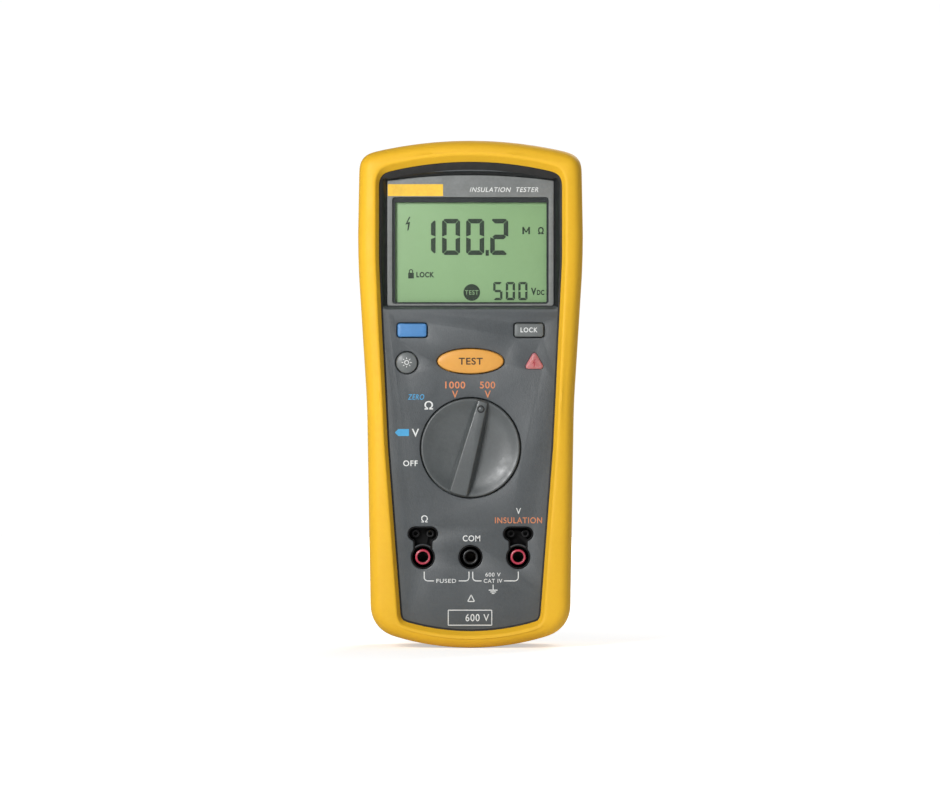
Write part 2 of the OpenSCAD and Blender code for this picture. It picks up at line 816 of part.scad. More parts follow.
module outline(inset) {
    offset(delta = -inset) corners(crown_corner, foot_corner, mid_z, $fn = 32) sharp_body();
}

module mouth(grow) {
    offset(delta = grow)
        corners(mouth_crown_corner, mouth_foot_corner, mid_z, $fn = 32) sharp_mouth();
}

// The holster without its cavity. A slanted block trims the outline's two edges,
// and it runs on past the outline and past both ends, so the two cut each other cleanly.
module holster_body() {
    slope = edge_in / edge_d;
    run_on = slope * cut;
    intersection() {
        slab(front_y, back_y) outline(0);
        hull() {
            slab(front_y + edge_d + cut, back_y - edge_d - cut) outline(-run_on);
            slab(front_y - cut, back_y + cut) outline(edge_in + run_on);
        }
    }
}

// The mouth, with a bevel that narrows from the front and ends inside the straight part
module mouth_cut() {
    bevel_d = front_lip - 1;
    slope = mouth_flare / bevel_d;
    slab(front_y - cut, face_y + cut) mouth(0);
    hull() {
        slab(front_y - cut, front_y - cut + slice) mouth(mouth_flare + slope * cut);
        slab(front_y + bevel_d + cut, front_y + bevel_d + cut + slice) mouth(-slope * cut);
    }
}

module holster() {
    color("gold") difference() {
        holster_body();
        slab(face_y, case_back_y) outline(holster_wall - boot_gap);
        mouth_cut();
        slab(case_back_y - cut, back_y + cut) outline(back_reach);
    }
}

module case_screw_places() {
    for (x = [-1, 1]) {
        translate([x * top_screw_x, 0, top_screw_z]) children();
        translate([x * foot_screw_x, 0, foot_screw_z]) children();
    }
}

module board_screw_places() {
    for (x = [-board_screw_x, board_screw_x], z = board_screw_zs)
        translate([x, 0, z]) children();
}

module shell(y0, y1, open_y, closed_y) {
    difference() {
        slab(y0, y1) outline(holster_wall);
        slab(min(open_y, closed_y), max(open_y, closed_y)) outline(holster_wall + case_wall);
    }
}

module small_key_outline(grow) {
    rounded_box(small_key_w + 2 * grow, small_key_h + 2 * grow, small_key_corner + grow);
}

module test_key_outline(grow) {
    oval(test_key_w + 2 * grow, test_key_h + 2 * grow);
}

module lamp_key_outline(grow) {
    circle(lamp_key_r + grow);
}

// The black part of a jack: a round well, with a slot and a neck above the outer ones
module jack_outline(well_r, grow, slotted) {
    if (slotted) offset(delta = grow) offset(r = -neck_fillet) offset(delta = neck_fillet) {
        at(0, jack_z) circle(well_r);
        slot_outline();
    } else at(0, jack_z) circle(well_r + grow);
}

module slot_outline() {
    at(0, slot_z) stadium(slot_w, slot_h);
    translate([-neck_w / 2, jack_z]) square([neck_w, slot_z - jack_z]);
}

module jack_outlines(grow) {
    for (x = jack_xs) at(x, 0) jack_outline(jack_well_r, grow, x != 0);
}

module face_openings() {
    slab(face_y - cut, face_in_y + cut) {
        for (x = [-1, 1]) at(x * small_key_x, small_key_z) small_key_outline(move_gap);
        at(0, test_key_z) test_key_outline(move_gap);
        at(-lamp_x, lamp_z) lamp_key_outline(move_gap);
        at(lamp_x, lamp_z) triangle(warning_side + 2 * lay_gap, warning_corner);
        jack_outlines(jack_collar_wall + lay_gap);
    }
}

// The label's outline: straight below and at its sides, with an arched upper edge
module label_outline(side, top, foot, corner) {
    high_z = label_high_z + top;
    intersection() {
        panel(label_w + 2 * side, label_low_z - foot, high_z, corner);
        at(0, high_z - label_crown_r) circle(label_crown_r, $fn = 240);
    }
}

module display_tub() {
    hull() {
        slab(face_y - slice, face_y)
            label_outline(tub_slope_side, tub_slope_top, tub_slope_foot, tub_corner, $fn = 32);
        slab(tub_y - slice, tub_y)
            label_outline(lay_gap, lay_gap, lay_gap, label_corner, $fn = 32);
    }
    slab(tub_y - slice, tub_floor_y) label_outline(lay_gap, lay_gap, lay_gap, label_corner);
    slab(tub_y, tub_back_y + cut)
        panel(window_w - 2 * window_ledge, window_low_z + window_ledge,
            window_high_z - window_ledge, window_corner);
}

module front_case() {
    color("dimgray") difference() {
        intersection() {
            union() {
                shell(face_y, seam_y, seam_y + cut, face_in_y);
                slab(face_y, tub_back_y)
                    panel(label_w + 2 * tub_slope_side, label_low_z - tub_slope_foot - tub_wall,
                        label_high_z + tub_slope_top + tub_wall, label_corner);
                rod(0, knob_z, face_y, pocket_back_y, knob_r + knob_gap + pocket_wall);
                rod(0, knob_z, pocket_y, collar_end_y, hub_r + run_gap + collar_wall);
                case_screw_places() rod(0, 0, face_y, seam_y, boss_r);
                board_screw_places() rod(0, 0, face_y, board_y, standoff_r);
            }
            slab(face_y, seam_y) outline(holster_wall);
        }
        display_tub();
        face_openings();
        rod(0, knob_z, face_y - cut, pocket_y, knob_r + knob_gap);
        rod(0, knob_z, pocket_y - cut, collar_end_y + cut, hub_r + run_gap);
        rod(0, knob_z, pocket_y - cut, pocket_y + knob_seal_t + lay_gap,
            hub_r + run_gap + knob_seal_w + 2 * lay_gap);
        case_screw_places() rod(0, 0, tub_back_y + cut, seam_y + cut, screw_r);
        board_screw_places() rod(0, 0, board_y - board_screw_l - cut, board_y + cut, board_screw_r);
    }
}

module lock_places() {
    for (z = [door_low_z + lock_edge, door_high_z - lock_edge]) translate([0, 0, z]) children();
}

module tray_panel(grow) {
    panel(tray_in_w + 2 * grow, tray_low_z - grow, tray_high_z + grow, tray_corner);
}

module door_panel(grow) {
    panel(door_w + 2 * grow, door_low_z - grow, door_high_z + grow, door_corner + grow);
}

// Ears that hold the stand's pin, with the hollow that its barrel turns in
module stand_lugs() {
    for (x = [-1, 1]) mirror([x < 0 ? 1 : 0, 0, 0]) {
        block(stand_w / 2 + move_gap, stand_w / 2 + move_gap + lug_w,
            case_back_y - join, back_y - hinge_sink, stand_hinge_z - lug_h, stand_hinge_z + lug_h);
    }
}

module back_case() {
    color("dimgray") difference() {
        intersection() {
            union() {
                shell(seam_back_y, case_back_y, seam_back_y - cut, case_back_in_y);
                slab(seat_in_y, case_back_in_y + join) door_panel(move_gap + seat_rim);
                slab(tray_floor_y - tray_wall, seat_in_y + join) tray_panel(tray_wall);
                case_screw_places() rod(0, 0, seam_back_y, case_back_in_y + join, screw_well_r);
            }
            slab(seam_back_y, case_back_y) outline(holster_wall);
        }
        slab(seat_y, case_back_y + cut) door_panel(move_gap);
        slab(tray_floor_y, seat_y + cut) tray_panel(0);
        slab(seat_in_y - cut, seat_y + cut)
            panel(fuse_l + 2 * fuse_room_side, fuse_z - fuse_r - fuse_room,
                fuse_z + fuse_r + fuse_room, block_corner);
        lock_places() {
            block(-cam_l / 2 - cam_gap, cam_l / 2 + cam_gap, seat_in_y - cut, seat_y + cut,
                -cam_w / 2 - cam_gap, cam_w / 2 + cam_gap);
            rod(0, 0, seat_in_y - cut, seat_y + cut, lock_r + move_gap);
        }
        case_screw_places() {
            rod(0, 0, case_back_y - screw_well_d, case_back_y + cut,
                screw_head_r + screw_head_gap);
            rod(0, 0, seam_back_y - cut, case_back_y, screw_r);
        }
        cross_rod(-stand_w / 2 - move_gap, stand_w / 2 + move_gap, hinge_y, stand_hinge_z,
            barrel_r + move_gap);
    }
    color("dimgray") difference() {
        stand_lugs();
        cross_rod(-body_w, body_w, hinge_y, stand_hinge_z, stand_pin_r);
    }
}

module case_gasket() {
    color("black") slab(seam_y, seam_back_y) difference() {
        outline(holster_wall + gasket_inset);
        outline(holster_wall + gasket_inset + gasket_w);
    }
}

module case_screws() {
    head_y = case_back_y - screw_well_d;
    color("silver") case_screw_places() difference() {
        union() {
            rod(0, 0, head_y, head_y + screw_head_t, screw_head_r);
            rod(0, 0, head_y - screw_l, head_y, screw_r);
        }
        for (a = [0, 90]) translate([0, head_y + screw_head_t, 0]) rotate([0, a, 0])
            cube([recess_l, 2 * recess_d, recess_w], center = true);
    }
}

module label_plate() {
    color("gray") slab(tub_y, tub_floor_y) difference() {
        label_outline(0, 0, 0, label_corner);
        panel(window_w, window_low_z, window_high_z, window_corner);
    }
}

module display_lens() {
    color("lightcyan", 0.4) slab(tub_y + lay_gap, tub_floor_y)
        panel(window_w - 2 * lay_gap, window_low_z + lay_gap, window_high_z - lay_gap,
            window_corner - lay_gap);
}

module glass_panel(grow) {
    panel(window_w + 2 * (glass_margin + grow), window_low_z - glass_margin - grow,
        window_high_z + glass_margin + grow, glass_corner);
}

module display_glass() {
    color("darkseagreen") slab(glass_y, glass_y + glass_t) glass_panel(0);
}

module light_guide() {
    color("white") slab(guide_y, guide_y + guide_t) glass_panel(-guide_inset);
}

module display_frame() {
    color("black") slab(glass_y, board_y) difference() {
        glass_panel(lay_gap + display_frame_wall);
        glass_panel(lay_gap);
    }
}

module contact_strips() {
    strip_y = guide_y + guide_t;
    color("hotpink") for (z = [window_low_z, window_high_z - strip_h])
        block(-window_w / 2, window_w / 2, strip_y, board_y, z, z + strip_h);
}

module main_board() {
    color("darkgreen") difference() {
        slab(board_y, board_back_y) intersection() {
            outline(holster_wall + case_wall + board_gap);
            translate([-body_w, main_board_low_z])
                square([2 * body_w, main_board_high_z - main_board_low_z]);
        }
        board_screw_places() rod(0, 0, board_y - cut, board_back_y + cut, board_screw_r);
        rod(0, knob_z, board_y - cut, board_back_y + cut, shaft_r + shaft_hole_gap);
    }
}

module board_screws() {
    color("silver") board_screw_places() {
        rod(0, 0, board_back_y, board_back_y + board_screw_head_t, board_screw_head_r);
        rod(0, 0, board_y - board_screw_l, board_back_y, board_screw_r);
    }
}

module microcontroller() {
    color("black") block(-chip_w / 2, chip_w / 2, board_back_y, board_back_y + chip_t,
        chip_z - chip_w / 2, chip_z + chip_w / 2);
}

// One soft mat under all the keys, with a dome under each stem and a hole for the warning lamp
module key_mat() {
    stem_y = face_in_y + move_gap + key_flange_t + key_stem_l;
    dome_y = stem_y + key_travel + dome_gap;
    color("whitesmoke") {
        slab(board_y - mat_t, board_y) difference() {
            at(0, (lamp_z + small_key_z) / 2) rounded_box(2 * (lamp_x + mat_margin), mat_h, block_corner);
            at(lamp_x, lamp_z) circle(led_r + led_gap);
        }
        for (x = [-1, 1]) rod(x * small_key_x, small_key_z, dome_y, board_y, dome_r);
        rod(0, test_key_z, dome_y, board_y, dome_r);
        rod(-lamp_x, lamp_z, dome_y, board_y, dome_r);
    }
}

// A key's cap, flange and stem: the first child is the cap's outline and the second the flange's
module key(x, z) {
    flange_y = face_in_y + move_gap;
    slab(face_y - key_rise, flange_y + slice) at(x, z) children(0);
    slab(flange_y, flange_y + key_flange_t) at(x, z) children(1);
    rod(x, z, flange_y + key_flange_t - slice, flange_y + key_flange_t + key_stem_l, key_stem_r);
}

module blue_key() {
    color("steelblue") key(-small_key_x, small_key_z) {
        small_key_outline(0);
        small_key_outline(key_flange);
    }
}

module lock_key() {
    color("gray") key(small_key_x, small_key_z) {
        small_key_outline(0);
        small_key_outline(key_flange);
    }
}

module lamp_key() {
    color("gray") key(-lamp_x, lamp_z) {
        lamp_key_outline(0);
        lamp_key_outline(key_flange);
    }
}

module test_key() {
    color("orange") key(0, test_key_z) {
        test_key_outline(0);
        test_key_outline(key_flange);
    }
}

module warning_lens() {
    color("lightcoral") {
        slab(face_y - warning_rise, face_in_y)
            at(lamp_x, lamp_z) triangle(warning_side, warning_corner);
        slab(face_in_y, face_in_y + warning_flange_t) at(lamp_x, lamp_z)
            triangle(warning_side + 2 * sqrt(3) * warning_flange, warning_corner);
    }
}

module warning_led() {
    color("red") {
        rod(lamp_x, lamp_z, board_y - led_l, board_y, led_r);
        rod(lamp_x, lamp_z, board_y - led_foot_t, board_y, led_r + led_foot);
    }
}

// The grip bar: tapered from its tail to its pointing end, cut round by the knob's edge
module grip_outline() {
    intersection() {
        polygon([
            [-grip_tail_w / 2, -knob_r], [grip_tail_w / 2, -knob_r],
            [grip_tip_w / 2, knob_r], [-grip_tip_w / 2, knob_r]
        ]);
        circle(knob_r - grip_inset);
    }
}

module selector_knob() {
    rim_y = face_y - rim_rise;
    grip_y = face_y - grip_rise;
    color("darkslategray") difference() {
        union() {
            rod(0, knob_z, rim_y + dish_d, knob_y, knob_r);
            slab(rim_y, rim_y + dish_d) at(0, knob_z) difference() {
                circle(knob_r);
                circle(knob_r - rim_w);
            }
            slab(grip_y, rim_y + dish_d) at(0, knob_z) rotate(-pointer_a) grip_outline();
            rod(0, knob_z, knob_y, collar_end_y, hub_r);
        }
        rod(0, knob_z, knob_y, collar_end_y + cut, shaft_r);
        translate([0, 0, knob_z]) rotate([0, pointer_a, 0])
            rod(0, knob_r - dimple_in, grip_y - cut, grip_y + dimple_d, dimple_r);
    }
}

module selector_shaft() {
    color("silver") rod(0, knob_z, knob_y, board_y - shaft_end_gap, shaft_r);
}

// Settings run anticlockwise from the resting one
detent_angles = [for (i = [0:setting_count - 1]) pointer_a - i * detent_step];

module selector_rotor() {
    color("ivory") difference() {
        rod(0, knob_z, rotor_y, rotor_back_y, rotor_r);
        rod(0, knob_z, rotor_y - cut, rotor_back_y + cut, shaft_r);
        for (a = detent_angles) translate([detent_r * sin(a), 0, knob_z + detent_r * cos(a)])
            rod(0, 0, rotor_y - cut, rotor_y + pit_d, pit_r);
    }
}

// Three wipers, each on a track of its own, a third of a turn apart
module rotor_wipers() {
    color("goldenrod") for (i = [0:2])
        rotate_about_knob(wiper_a + 120 * i) translate([0, 0, wiper_in_r + i * wiper_pitch])
            block(-wiper_l / 2, wiper_l / 2, rotor_back_y, rotor_back_y + wiper_t - wiper_gap,
                -wiper_w / 2, wiper_w / 2);
}

module rotate_about_knob(a) {
    translate([0, 0, knob_z]) rotate([0, a, 0]) children();
}

module shaft_clip() {
    color("silver") difference() {
        rod(0, knob_z, rotor_back_y, rotor_back_y + clip_t, shaft_r + clip_w);
        rod(0, knob_z, rotor_back_y - cut, rotor_back_y + clip_t + cut, shaft_r);
    }
}

module knob_seal() {
    color("black") difference() {
        rod(0, knob_z, pocket_y, pocket_y + knob_seal_t, hub_r + run_gap + lay_gap + knob_seal_w);
        rod(0, knob_z, pocket_y - cut, pocket_y + knob_seal_t + cut, hub_r + run_gap + lay_gap);
    }
}

module detent_spring() {
    color("silver") difference() {
        rod(0, knob_z, pocket_back_y, pocket_back_y + leaf_t, detent_r + leaf_w / 2);
        rod(0, knob_z, pocket_back_y - cut, pocket_back_y + leaf_t + cut, detent_r - leaf_w / 2);
        rotate_about_knob(180) block(-body_w, body_w, pocket_back_y - cut,
            pocket_back_y + leaf_t + cut, leaf_open, body_w);
    }
}

module detent_ball() {
    color("silver") translate([0, pocket_back_y + leaf_t + ball_r, 0]) rotate_about_knob(pointer_a)
        translate([0, 0, detent_r]) sphere(ball_r);
}

module jack_block() {
    color("black") difference() {
        union() {
            slab(face_y, face_in_y + join) jack_outlines(jack_collar_wall);
            slab(face_in_y, block_back_y) panel(block_w, block_low_z, block_high_z, block_corner);
        }
        for (x = jack_xs) rod(x, jack_z, face_y - cut, well_y, jack_well_r);
        for (x = outer_xs) difference() {
            slab(face_y - cut, slot_y) at(x, 0) jack_outline(jack_well_r - lay_gap, 0, true);
            rod(x, jack_z, face_y + ridge_sink, slot_y + cut, jack_well_r + ridge_t);
        }
        for (x = outer_xs, s = [-socket_x, socket_x])
            rod(x + s, slot_z, slot_y - cut, slot_y + socket_l - socket_rise, socket_r);
        for (x = jack_xs) rod(x, jack_z, well_y - cut, block_back_y + cut, pin_r);
    }
}

module jack_post(x) {
    difference() {
        rod(x, jack_z, post_y, well_y, jack_post_r);
        rod(x, jack_z, post_y - cut, sleeve_y + cut, sleeve_bore_r);
        rod(x, jack_z, sleeve_y, well_y + cut, sleeve_bore_r + sleeve_wall);
    }
}

module jack_post_left() {
    color("crimson") jack_post(-jack_pitch);
}

module jack_post_middle() {
    color("black") jack_post(0);
}

module jack_post_right() {
    color("crimson") jack_post(jack_pitch);
}

// A turned contact with a pin that is soldered to the input board
module jack_sleeve(x) {
    difference() {
        union() {
            rod(x, jack_z, sleeve_y, well_y, sleeve_bore_r + sleeve_wall);
            rod(x, jack_z, well_y - slice, input_board_back_y + pin_out, pin_r);
        }
        rod(x, jack_z, sleeve_y - cut, well_y - sleeve_floor_t, sleeve_bore_r);
    }
}

module jack_sleeve_left() {
    color("goldenrod") jack_sleeve(-jack_pitch);
}

module jack_sleeve_middle() {
    color("goldenrod") jack_sleeve(0);
}

module jack_sleeve_right() {
    color("goldenrod") jack_sleeve(jack_pitch);
}

module probe_sockets(x) {
    for (s = [-socket_x, socket_x]) difference() {
        rod(x + s, slot_z, slot_y - socket_rise, slot_y + socket_l - socket_rise, socket_r);
        rod(x + s, slot_z, slot_y - socket_rise - cut,
            slot_y + socket_l - socket_rise - socket_floor_t, socket_bore_r);
    }
}

module probe_sockets_left() {
    color("goldenrod") probe_sockets(-jack_pitch);
}

module probe_sockets_right() {
    color("goldenrod") probe_sockets(jack_pitch);
}

module input_board() {
    color("darkgreen") difference() {
        slab(input_board_y, input_board_back_y)
            panel(input_board_w, input_board_low_z, input_board_high_z, block_corner);
        for (x = jack_xs) rod(x, jack_z, input_board_y - cut, input_board_back_y + cut, pin_r);
    }
}

module board_connector() {
    color("black") block(-connector_w / 2, connector_w / 2, board_back_y, input_board_y,
        main_board_low_z + connector_inset, input_board_high_z - connector_inset);
}

module fuse() {
    y = input_board_back_y + fuse_gap + fuse_r;
    color("lightgray") {
        cross_rod(-fuse_l / 2, fuse_l / 2, y, fuse_z, fuse_r - fuse_step);
        for (x = [-fuse_l / 2, fuse_l / 2 - fuse_cap_l])
            cross_rod(x, x + fuse_cap_l, y, fuse_z, fuse_r);
    }
}

module fuse_clips() {
    y = input_board_back_y;
    middle = (fuse_l - fuse_cap_l) / 2;
    low_z = fuse_z - fuse_r - fuse_clip_t;
    color("goldenrod") for (x = [-middle - fuse_clip_l / 2, middle - fuse_clip_l / 2]) {
        block(x, x + fuse_clip_l, y, y + fuse_gap, low_z, fuse_z + fuse_r + fuse_clip_t);
        for (z = [low_z, fuse_z + fuse_r])
            block(x, x + fuse_clip_l, y, y + fuse_gap + fuse_clip_h, z, z + fuse_clip_t);
    }
}

// A core with its winding around the middle of its height and depth
module transformer() {
    core = core_w / 2;
    wound = core + winding_out;
    color("darkkhaki") translate([transformer_x, board_back_y, transformer_z]) {
        block(-core, core, 0, core_d, -core, core);
        block(-wound, wound, (core_d - winding_d) / 2, (core_d + winding_d) / 2,
            -winding_h / 2, winding_h / 2);
    }
}

// Three capacitors, their axes at the corners of an equal-sided triangle
module capacitors() {
    side = capacitor_r + capacitor_gap / 2;
    color("midnightblue") translate([capacitor_x, board_back_y, capacitor_z]) {
        for (x = [-side, side]) rod(x, 0, 0, capacitor_l, capacitor_r);
        rod(0, side * sqrt(3), 0, capacitor_l, capacitor_r);
    }
}

module relays() {
    color("white") for (i = [-1:1])
        block(i * relay_pitch - relay_w / 2, i * relay_pitch + relay_w / 2,
            board_back_y, board_back_y + relay_d, relay_z - relay_h / 2, relay_z + relay_h / 2);
}

module buzzer() {
    color("black") difference() {
        rod(buzzer_x, chip_z, board_back_y, board_back_y + buzzer_d, buzzer_r);
        rod(buzzer_x, chip_z, board_back_y + buzzer_d / 2, board_back_y + buzzer_d + cut,
            buzzer_hole_r);
    }
}

module insulating_sheet() {
    color("khaki") slab(tray_floor_y - tray_wall - sheet_t, tray_floor_y - tray_wall)
        panel(tray_in_w, input_board_high_z + sheet_gap, tray_high_z, tray_corner);
}

// Cells lie head to tail
module batteries() {
    color("slategray") for (i = [0:cell_count - 1]) {
        x = (i - (cell_count - 1) / 2) * cell_pitch;
        up = i % 2 == 0;
        z = cell_low_z + (up ? 0 : nub_l);
        translate([x, cell_y, z]) cylinder(h = cell_l - nub_l, r = cell_r);
        translate([x, cell_y, up ? cell_low_z + cell_l - nub_l - slice : cell_low_z])
            cylinder(h = nub_l + slice, r = nub_r);
    }
}

module battery_springs() {
    color("silver") for (i = [0:cell_count - 1]) {
        x = (i - (cell_count - 1) / 2) * cell_pitch;
        up = i % 2 == 0;
        z0 = up ? tray_low_z + contact_t : cell_low_z + cell_l;
        z1 = up ? cell_low_z : tray_high_z - contact_t;
        translate([x, cell_y, z0]) difference() {
            cylinder(h = z1 - z0, r1 = up ? spring_foot_r : spring_tip_r,
                r2 = up ? spring_tip_r : spring_foot_r);
            translate([0, 0, -cut]) cylinder(h = z1 - z0 + 2 * cut, r = spring_in_r);
        }
    }
}

module battery_contacts() {
    color("silver") {
        for (i = [0:cell_count - 1]) {
            x = (i - (cell_count - 1) / 2) * cell_pitch;
            w = cell_r - contact_inset;
            for (z = [tray_low_z, tray_high_z - contact_t])
                block(x - w, x + w, cell_y - w, cell_y + w, z, z + contact_t);
            up = i % 2 == 0;
            z = up ? cell_low_z + cell_l : tray_low_z + contact_t;
            translate([x, cell_y, z]) cylinder(h = contact_room - contact_t, r = contact_r);
        }
    }
}

module battery_door() {
    color("dimgray") difference() {
        slab(door_y, case_back_y) door_panel(0);
        lock_places() {
            rod(0, 0, case_back_y - lock_head_t - lay_gap, case_back_y + cut, lock_head_r + move_gap);
            rod(0, 0, door_y - cut, case_back_y, lock_r + run_gap);
        }
        for (i = [1:grip_count]) {
            groove_z = door_high_z - 2 * lock_edge - 2 * i * grip_h;
            block(-grip_w / 2, grip_w / 2, case_back_y - grip_d, case_back_y + cut,
                groove_z, groove_z + grip_h);
        }
    }
}

module door_gasket() {
    color("black") slab(seat_y, seat_y + door_gasket_t) difference() {
        door_panel(-door_gasket_inset);
        door_panel(-door_gasket_inset - door_gasket_w);
    }
}

// A quarter-turn lock, unlocked: its cam lies across, in line with the slot in the seat
module door_lock(z) {
    head_y = case_back_y - lock_head_t;
    cam_y = seat_in_y - cam_clear - cam_t;
    color("lightgray") translate([0, 0, z]) difference() {
        union() {
            rod(0, 0, head_y, case_back_y - lock_sink, lock_head_r);
            rod(0, 0, cam_y, head_y + slice, lock_r);
            block(-cam_l / 2, cam_l / 2, cam_y, cam_y + cam_t, -cam_w / 2, cam_w / 2);
        }
        block(-coin_slot_l / 2, coin_slot_l / 2, case_back_y - coin_slot_d, case_back_y + cut,
            -coin_slot_w / 2, coin_slot_w / 2);
    }
}

module door_lock_top() {
    door_lock(door_high_z - lock_edge);
}

module door_lock_foot() {
    door_lock(door_low_z + lock_edge);
}

module tilt_stand() {
    color("dimgray") difference() {
        union() {
            slab(stand_y, stand_y + stand_t) difference() {
                union() {
                    panel(stand_w, stand_low_z, stand_hinge_z, stand_corner);
                    translate([-stand_w / 2, stand_hinge_z - shoulder_h])
                        square([stand_w, shoulder_h]);
                }
                translate([0, stand_low_z]) circle(notch_r);
            }
            cross_rod(-stand_w / 2, stand_w / 2, hinge_y, stand_hinge_z, barrel_r);
        }
        cross_rod(-body_w, body_w, hinge_y, stand_hinge_z, stand_pin_r + run_gap);
        for (x = [-1, 1]) translate([x * stand_w / 4, 0, 0])
            slab(stand_y + stand_t - panel_d, stand_y + stand_t + cut)
                panel(panel_w, stand_low_z + 2 * notch_r, stand_hinge_z - 2 * notch_r, panel_corner);
    }
}

module stand_pin() {
    reach = stand_w / 2 + move_gap + lug_w - pin_end_gap;
    color("silver") cross_rod(-reach, reach, hinge_y, stand_hinge_z, stand_pin_r);
}

holster();
front_case();
back_case();
case_gasket();
case_screws();
label_plate();
display_lens();
display_glass();
light_guide();
display_frame();
contact_strips();
main_board();
board_screws();
microcontroller();
key_mat();
blue_key();
lock_key();
lamp_key();
test_key();
warning_lens();
warning_led();
selector_knob();
selector_shaft();
selector_rotor();
rotor_wipers();
shaft_clip();
knob_seal();
detent_spring();
detent_ball();
jack_block();
jack_post_left();
jack_post_middle();
jack_post_right();
jack_sleeve_left();
jack_sleeve_middle();
jack_sleeve_right();
probe_sockets_left();
probe_sockets_right();
input_board();
board_connector();
fuse();
fuse_clips();
transformer();
capacitors();
relays();
buzzer();
insulating_sheet();
batteries();
battery_springs();
battery_contacts();
battery_door();
door_gasket();
door_lock_top();
door_lock_foot();
tilt_stand();
stand_pin();
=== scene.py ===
from math import cos, pi, radians, sin

import bmesh
import bpy
from mathutils import Matrix, Vector
from mathutils.bvhtree import BVHTree


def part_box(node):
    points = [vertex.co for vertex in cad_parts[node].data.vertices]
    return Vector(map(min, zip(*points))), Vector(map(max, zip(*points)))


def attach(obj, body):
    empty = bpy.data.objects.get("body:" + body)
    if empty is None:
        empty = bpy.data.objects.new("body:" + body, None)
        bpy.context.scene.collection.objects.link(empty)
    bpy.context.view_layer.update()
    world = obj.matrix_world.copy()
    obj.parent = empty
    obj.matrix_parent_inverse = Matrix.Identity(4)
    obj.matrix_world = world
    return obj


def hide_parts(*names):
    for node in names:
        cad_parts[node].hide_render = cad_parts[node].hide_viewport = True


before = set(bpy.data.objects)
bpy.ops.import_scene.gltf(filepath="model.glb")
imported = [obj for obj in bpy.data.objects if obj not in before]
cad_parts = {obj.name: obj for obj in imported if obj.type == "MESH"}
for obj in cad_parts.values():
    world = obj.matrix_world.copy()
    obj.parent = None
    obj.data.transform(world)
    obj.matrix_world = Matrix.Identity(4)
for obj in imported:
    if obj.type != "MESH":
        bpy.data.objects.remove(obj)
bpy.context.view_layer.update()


# ---- Front case ----
# The front shell of the tester: glass-filled ABS, injection moulded in dark grey
# with a spark-eroded grain. Its openings have broken edges, and the sloped wall
# of the display tub is smooth and painted near-black, as shade on all its sides. Four
# screws hold it from behind.

MM = 0.001
WELD = 0.001 * MM  # Corners nearer than this are one


def colour(red, green, blue):
    """A colour from a swatch card, 0 to 255, as the light values that a shader takes."""
    steps = (c / 255 for c in (red, green, blue))
    return tuple(c / 12.92 if c < 0.04 else ((c + 0.055) / 1.055) ** 2.4 for c in steps) + (1,)


def shade(tint, factor):
    return tuple(min(1, c * factor) for c in tint[:3]) + (1,)


def finish(name, tint, roughness, grain=0.4, depth=0.02, cloud=9, shift=0.1, worn=0.25,
           stretch=(1, 1, 1), **sockets):
    """A made surface: a fine grain in its relief, cloudy colour and gloss, and edges rubbed
    lighter. Grain, depth and cloud are in millimetres, and shift and worn are shares."""
    fleck_size, fleck_gain = 3, 1.6  # In grains, and how much paler
    rub_width, rub_sharp, rub_flat, rub_gain, rub_lift = 0.4, 0.8, 0.99, 1.4, 0.012
    smoother, rougher = 0.06, 0.08
    material = bpy.data.materials.new(name)
    material.use_nodes = True
    nodes, links = material.node_tree.nodes, material.node_tree.links
    shader = nodes["Principled BSDF"]
    for socket, value in sockets.items():
        shader.inputs[socket.replace("_", " ")].default_value = value
    place = nodes.new("ShaderNodeMapping")
    place.inputs["Scale"].default_value = stretch
    links.new(nodes.new("ShaderNodeTexCoord").outputs["Object"], place.inputs["Vector"])

    def noise(size, detail):
        node = nodes.new("ShaderNodeTexNoise")
        node.inputs["Scale"].default_value = 1 / (size * MM)
        node.inputs["Detail"].default_value = detail
        links.new(place.outputs["Vector"], node.inputs["Vector"])
        return node.outputs["Fac"]

    def spread(value, low, high, start=0.3, end=0.7):
        node = nodes.new("ShaderNodeMapRange")
        for socket, number in zip(("From Min", "From Max", "To Min", "To Max"),
                                  (start, end, low, high)):
            node.inputs[socket].default_value = number
        links.new(value, node.inputs["Value"])
        return node.outputs["Result"]

    def blend(share, first, second):
        node = nodes.new("ShaderNodeMix")
        node.data_type = "RGBA"
        links.new(share, node.inputs[0])
        for socket, value in ((node.inputs[6], first), (node.inputs[7], second)):
            if isinstance(value, tuple):
                socket.default_value = value
            else:
                links.new(value, socket)
        return node.outputs[2]

    clouds = noise(cloud, 3)
    base = blend(spread(clouds, 0, 1), shade(tint, 1 - shift), shade(tint, 1 + shift))
    flecks = noise(fleck_size * grain, 2)
    base = blend(spread(flecks, 0, shift * 2), base, shade(tint, fleck_gain))
    if worn:
        bevel = nodes.new("ShaderNodeBevel")
        bevel.samples = 4
        bevel.inputs["Radius"].default_value = rub_width * MM
        facing = nodes.new("ShaderNodeVectorMath")
        facing.operation = "DOT_PRODUCT"
        links.new(bevel.outputs["Normal"], facing.inputs[0])
        links.new(nodes.new("ShaderNodeNewGeometry").outputs["Normal"], facing.inputs[1])
        rubbed = tuple(min(1, c * rub_gain + rub_lift) for c in tint[:3]) + (1,)
        edges = spread(facing.outputs["Value"], worn, 0, rub_sharp, rub_flat)
        base = blend(edges, base, rubbed)
    links.new(base, shader.inputs["Base Color"])
    gloss = spread(noise(cloud / 3, 4), roughness - smoother, roughness + rougher)
    links.new(gloss, shader.inputs["Roughness"])
    relief = nodes.new("ShaderNodeBump")
    relief.inputs["Distance"].default_value = depth * MM
    links.new(noise(grain, 2), relief.inputs["Height"])
    links.new(relief.outputs["Normal"], shader.inputs["Normal"])
    return material


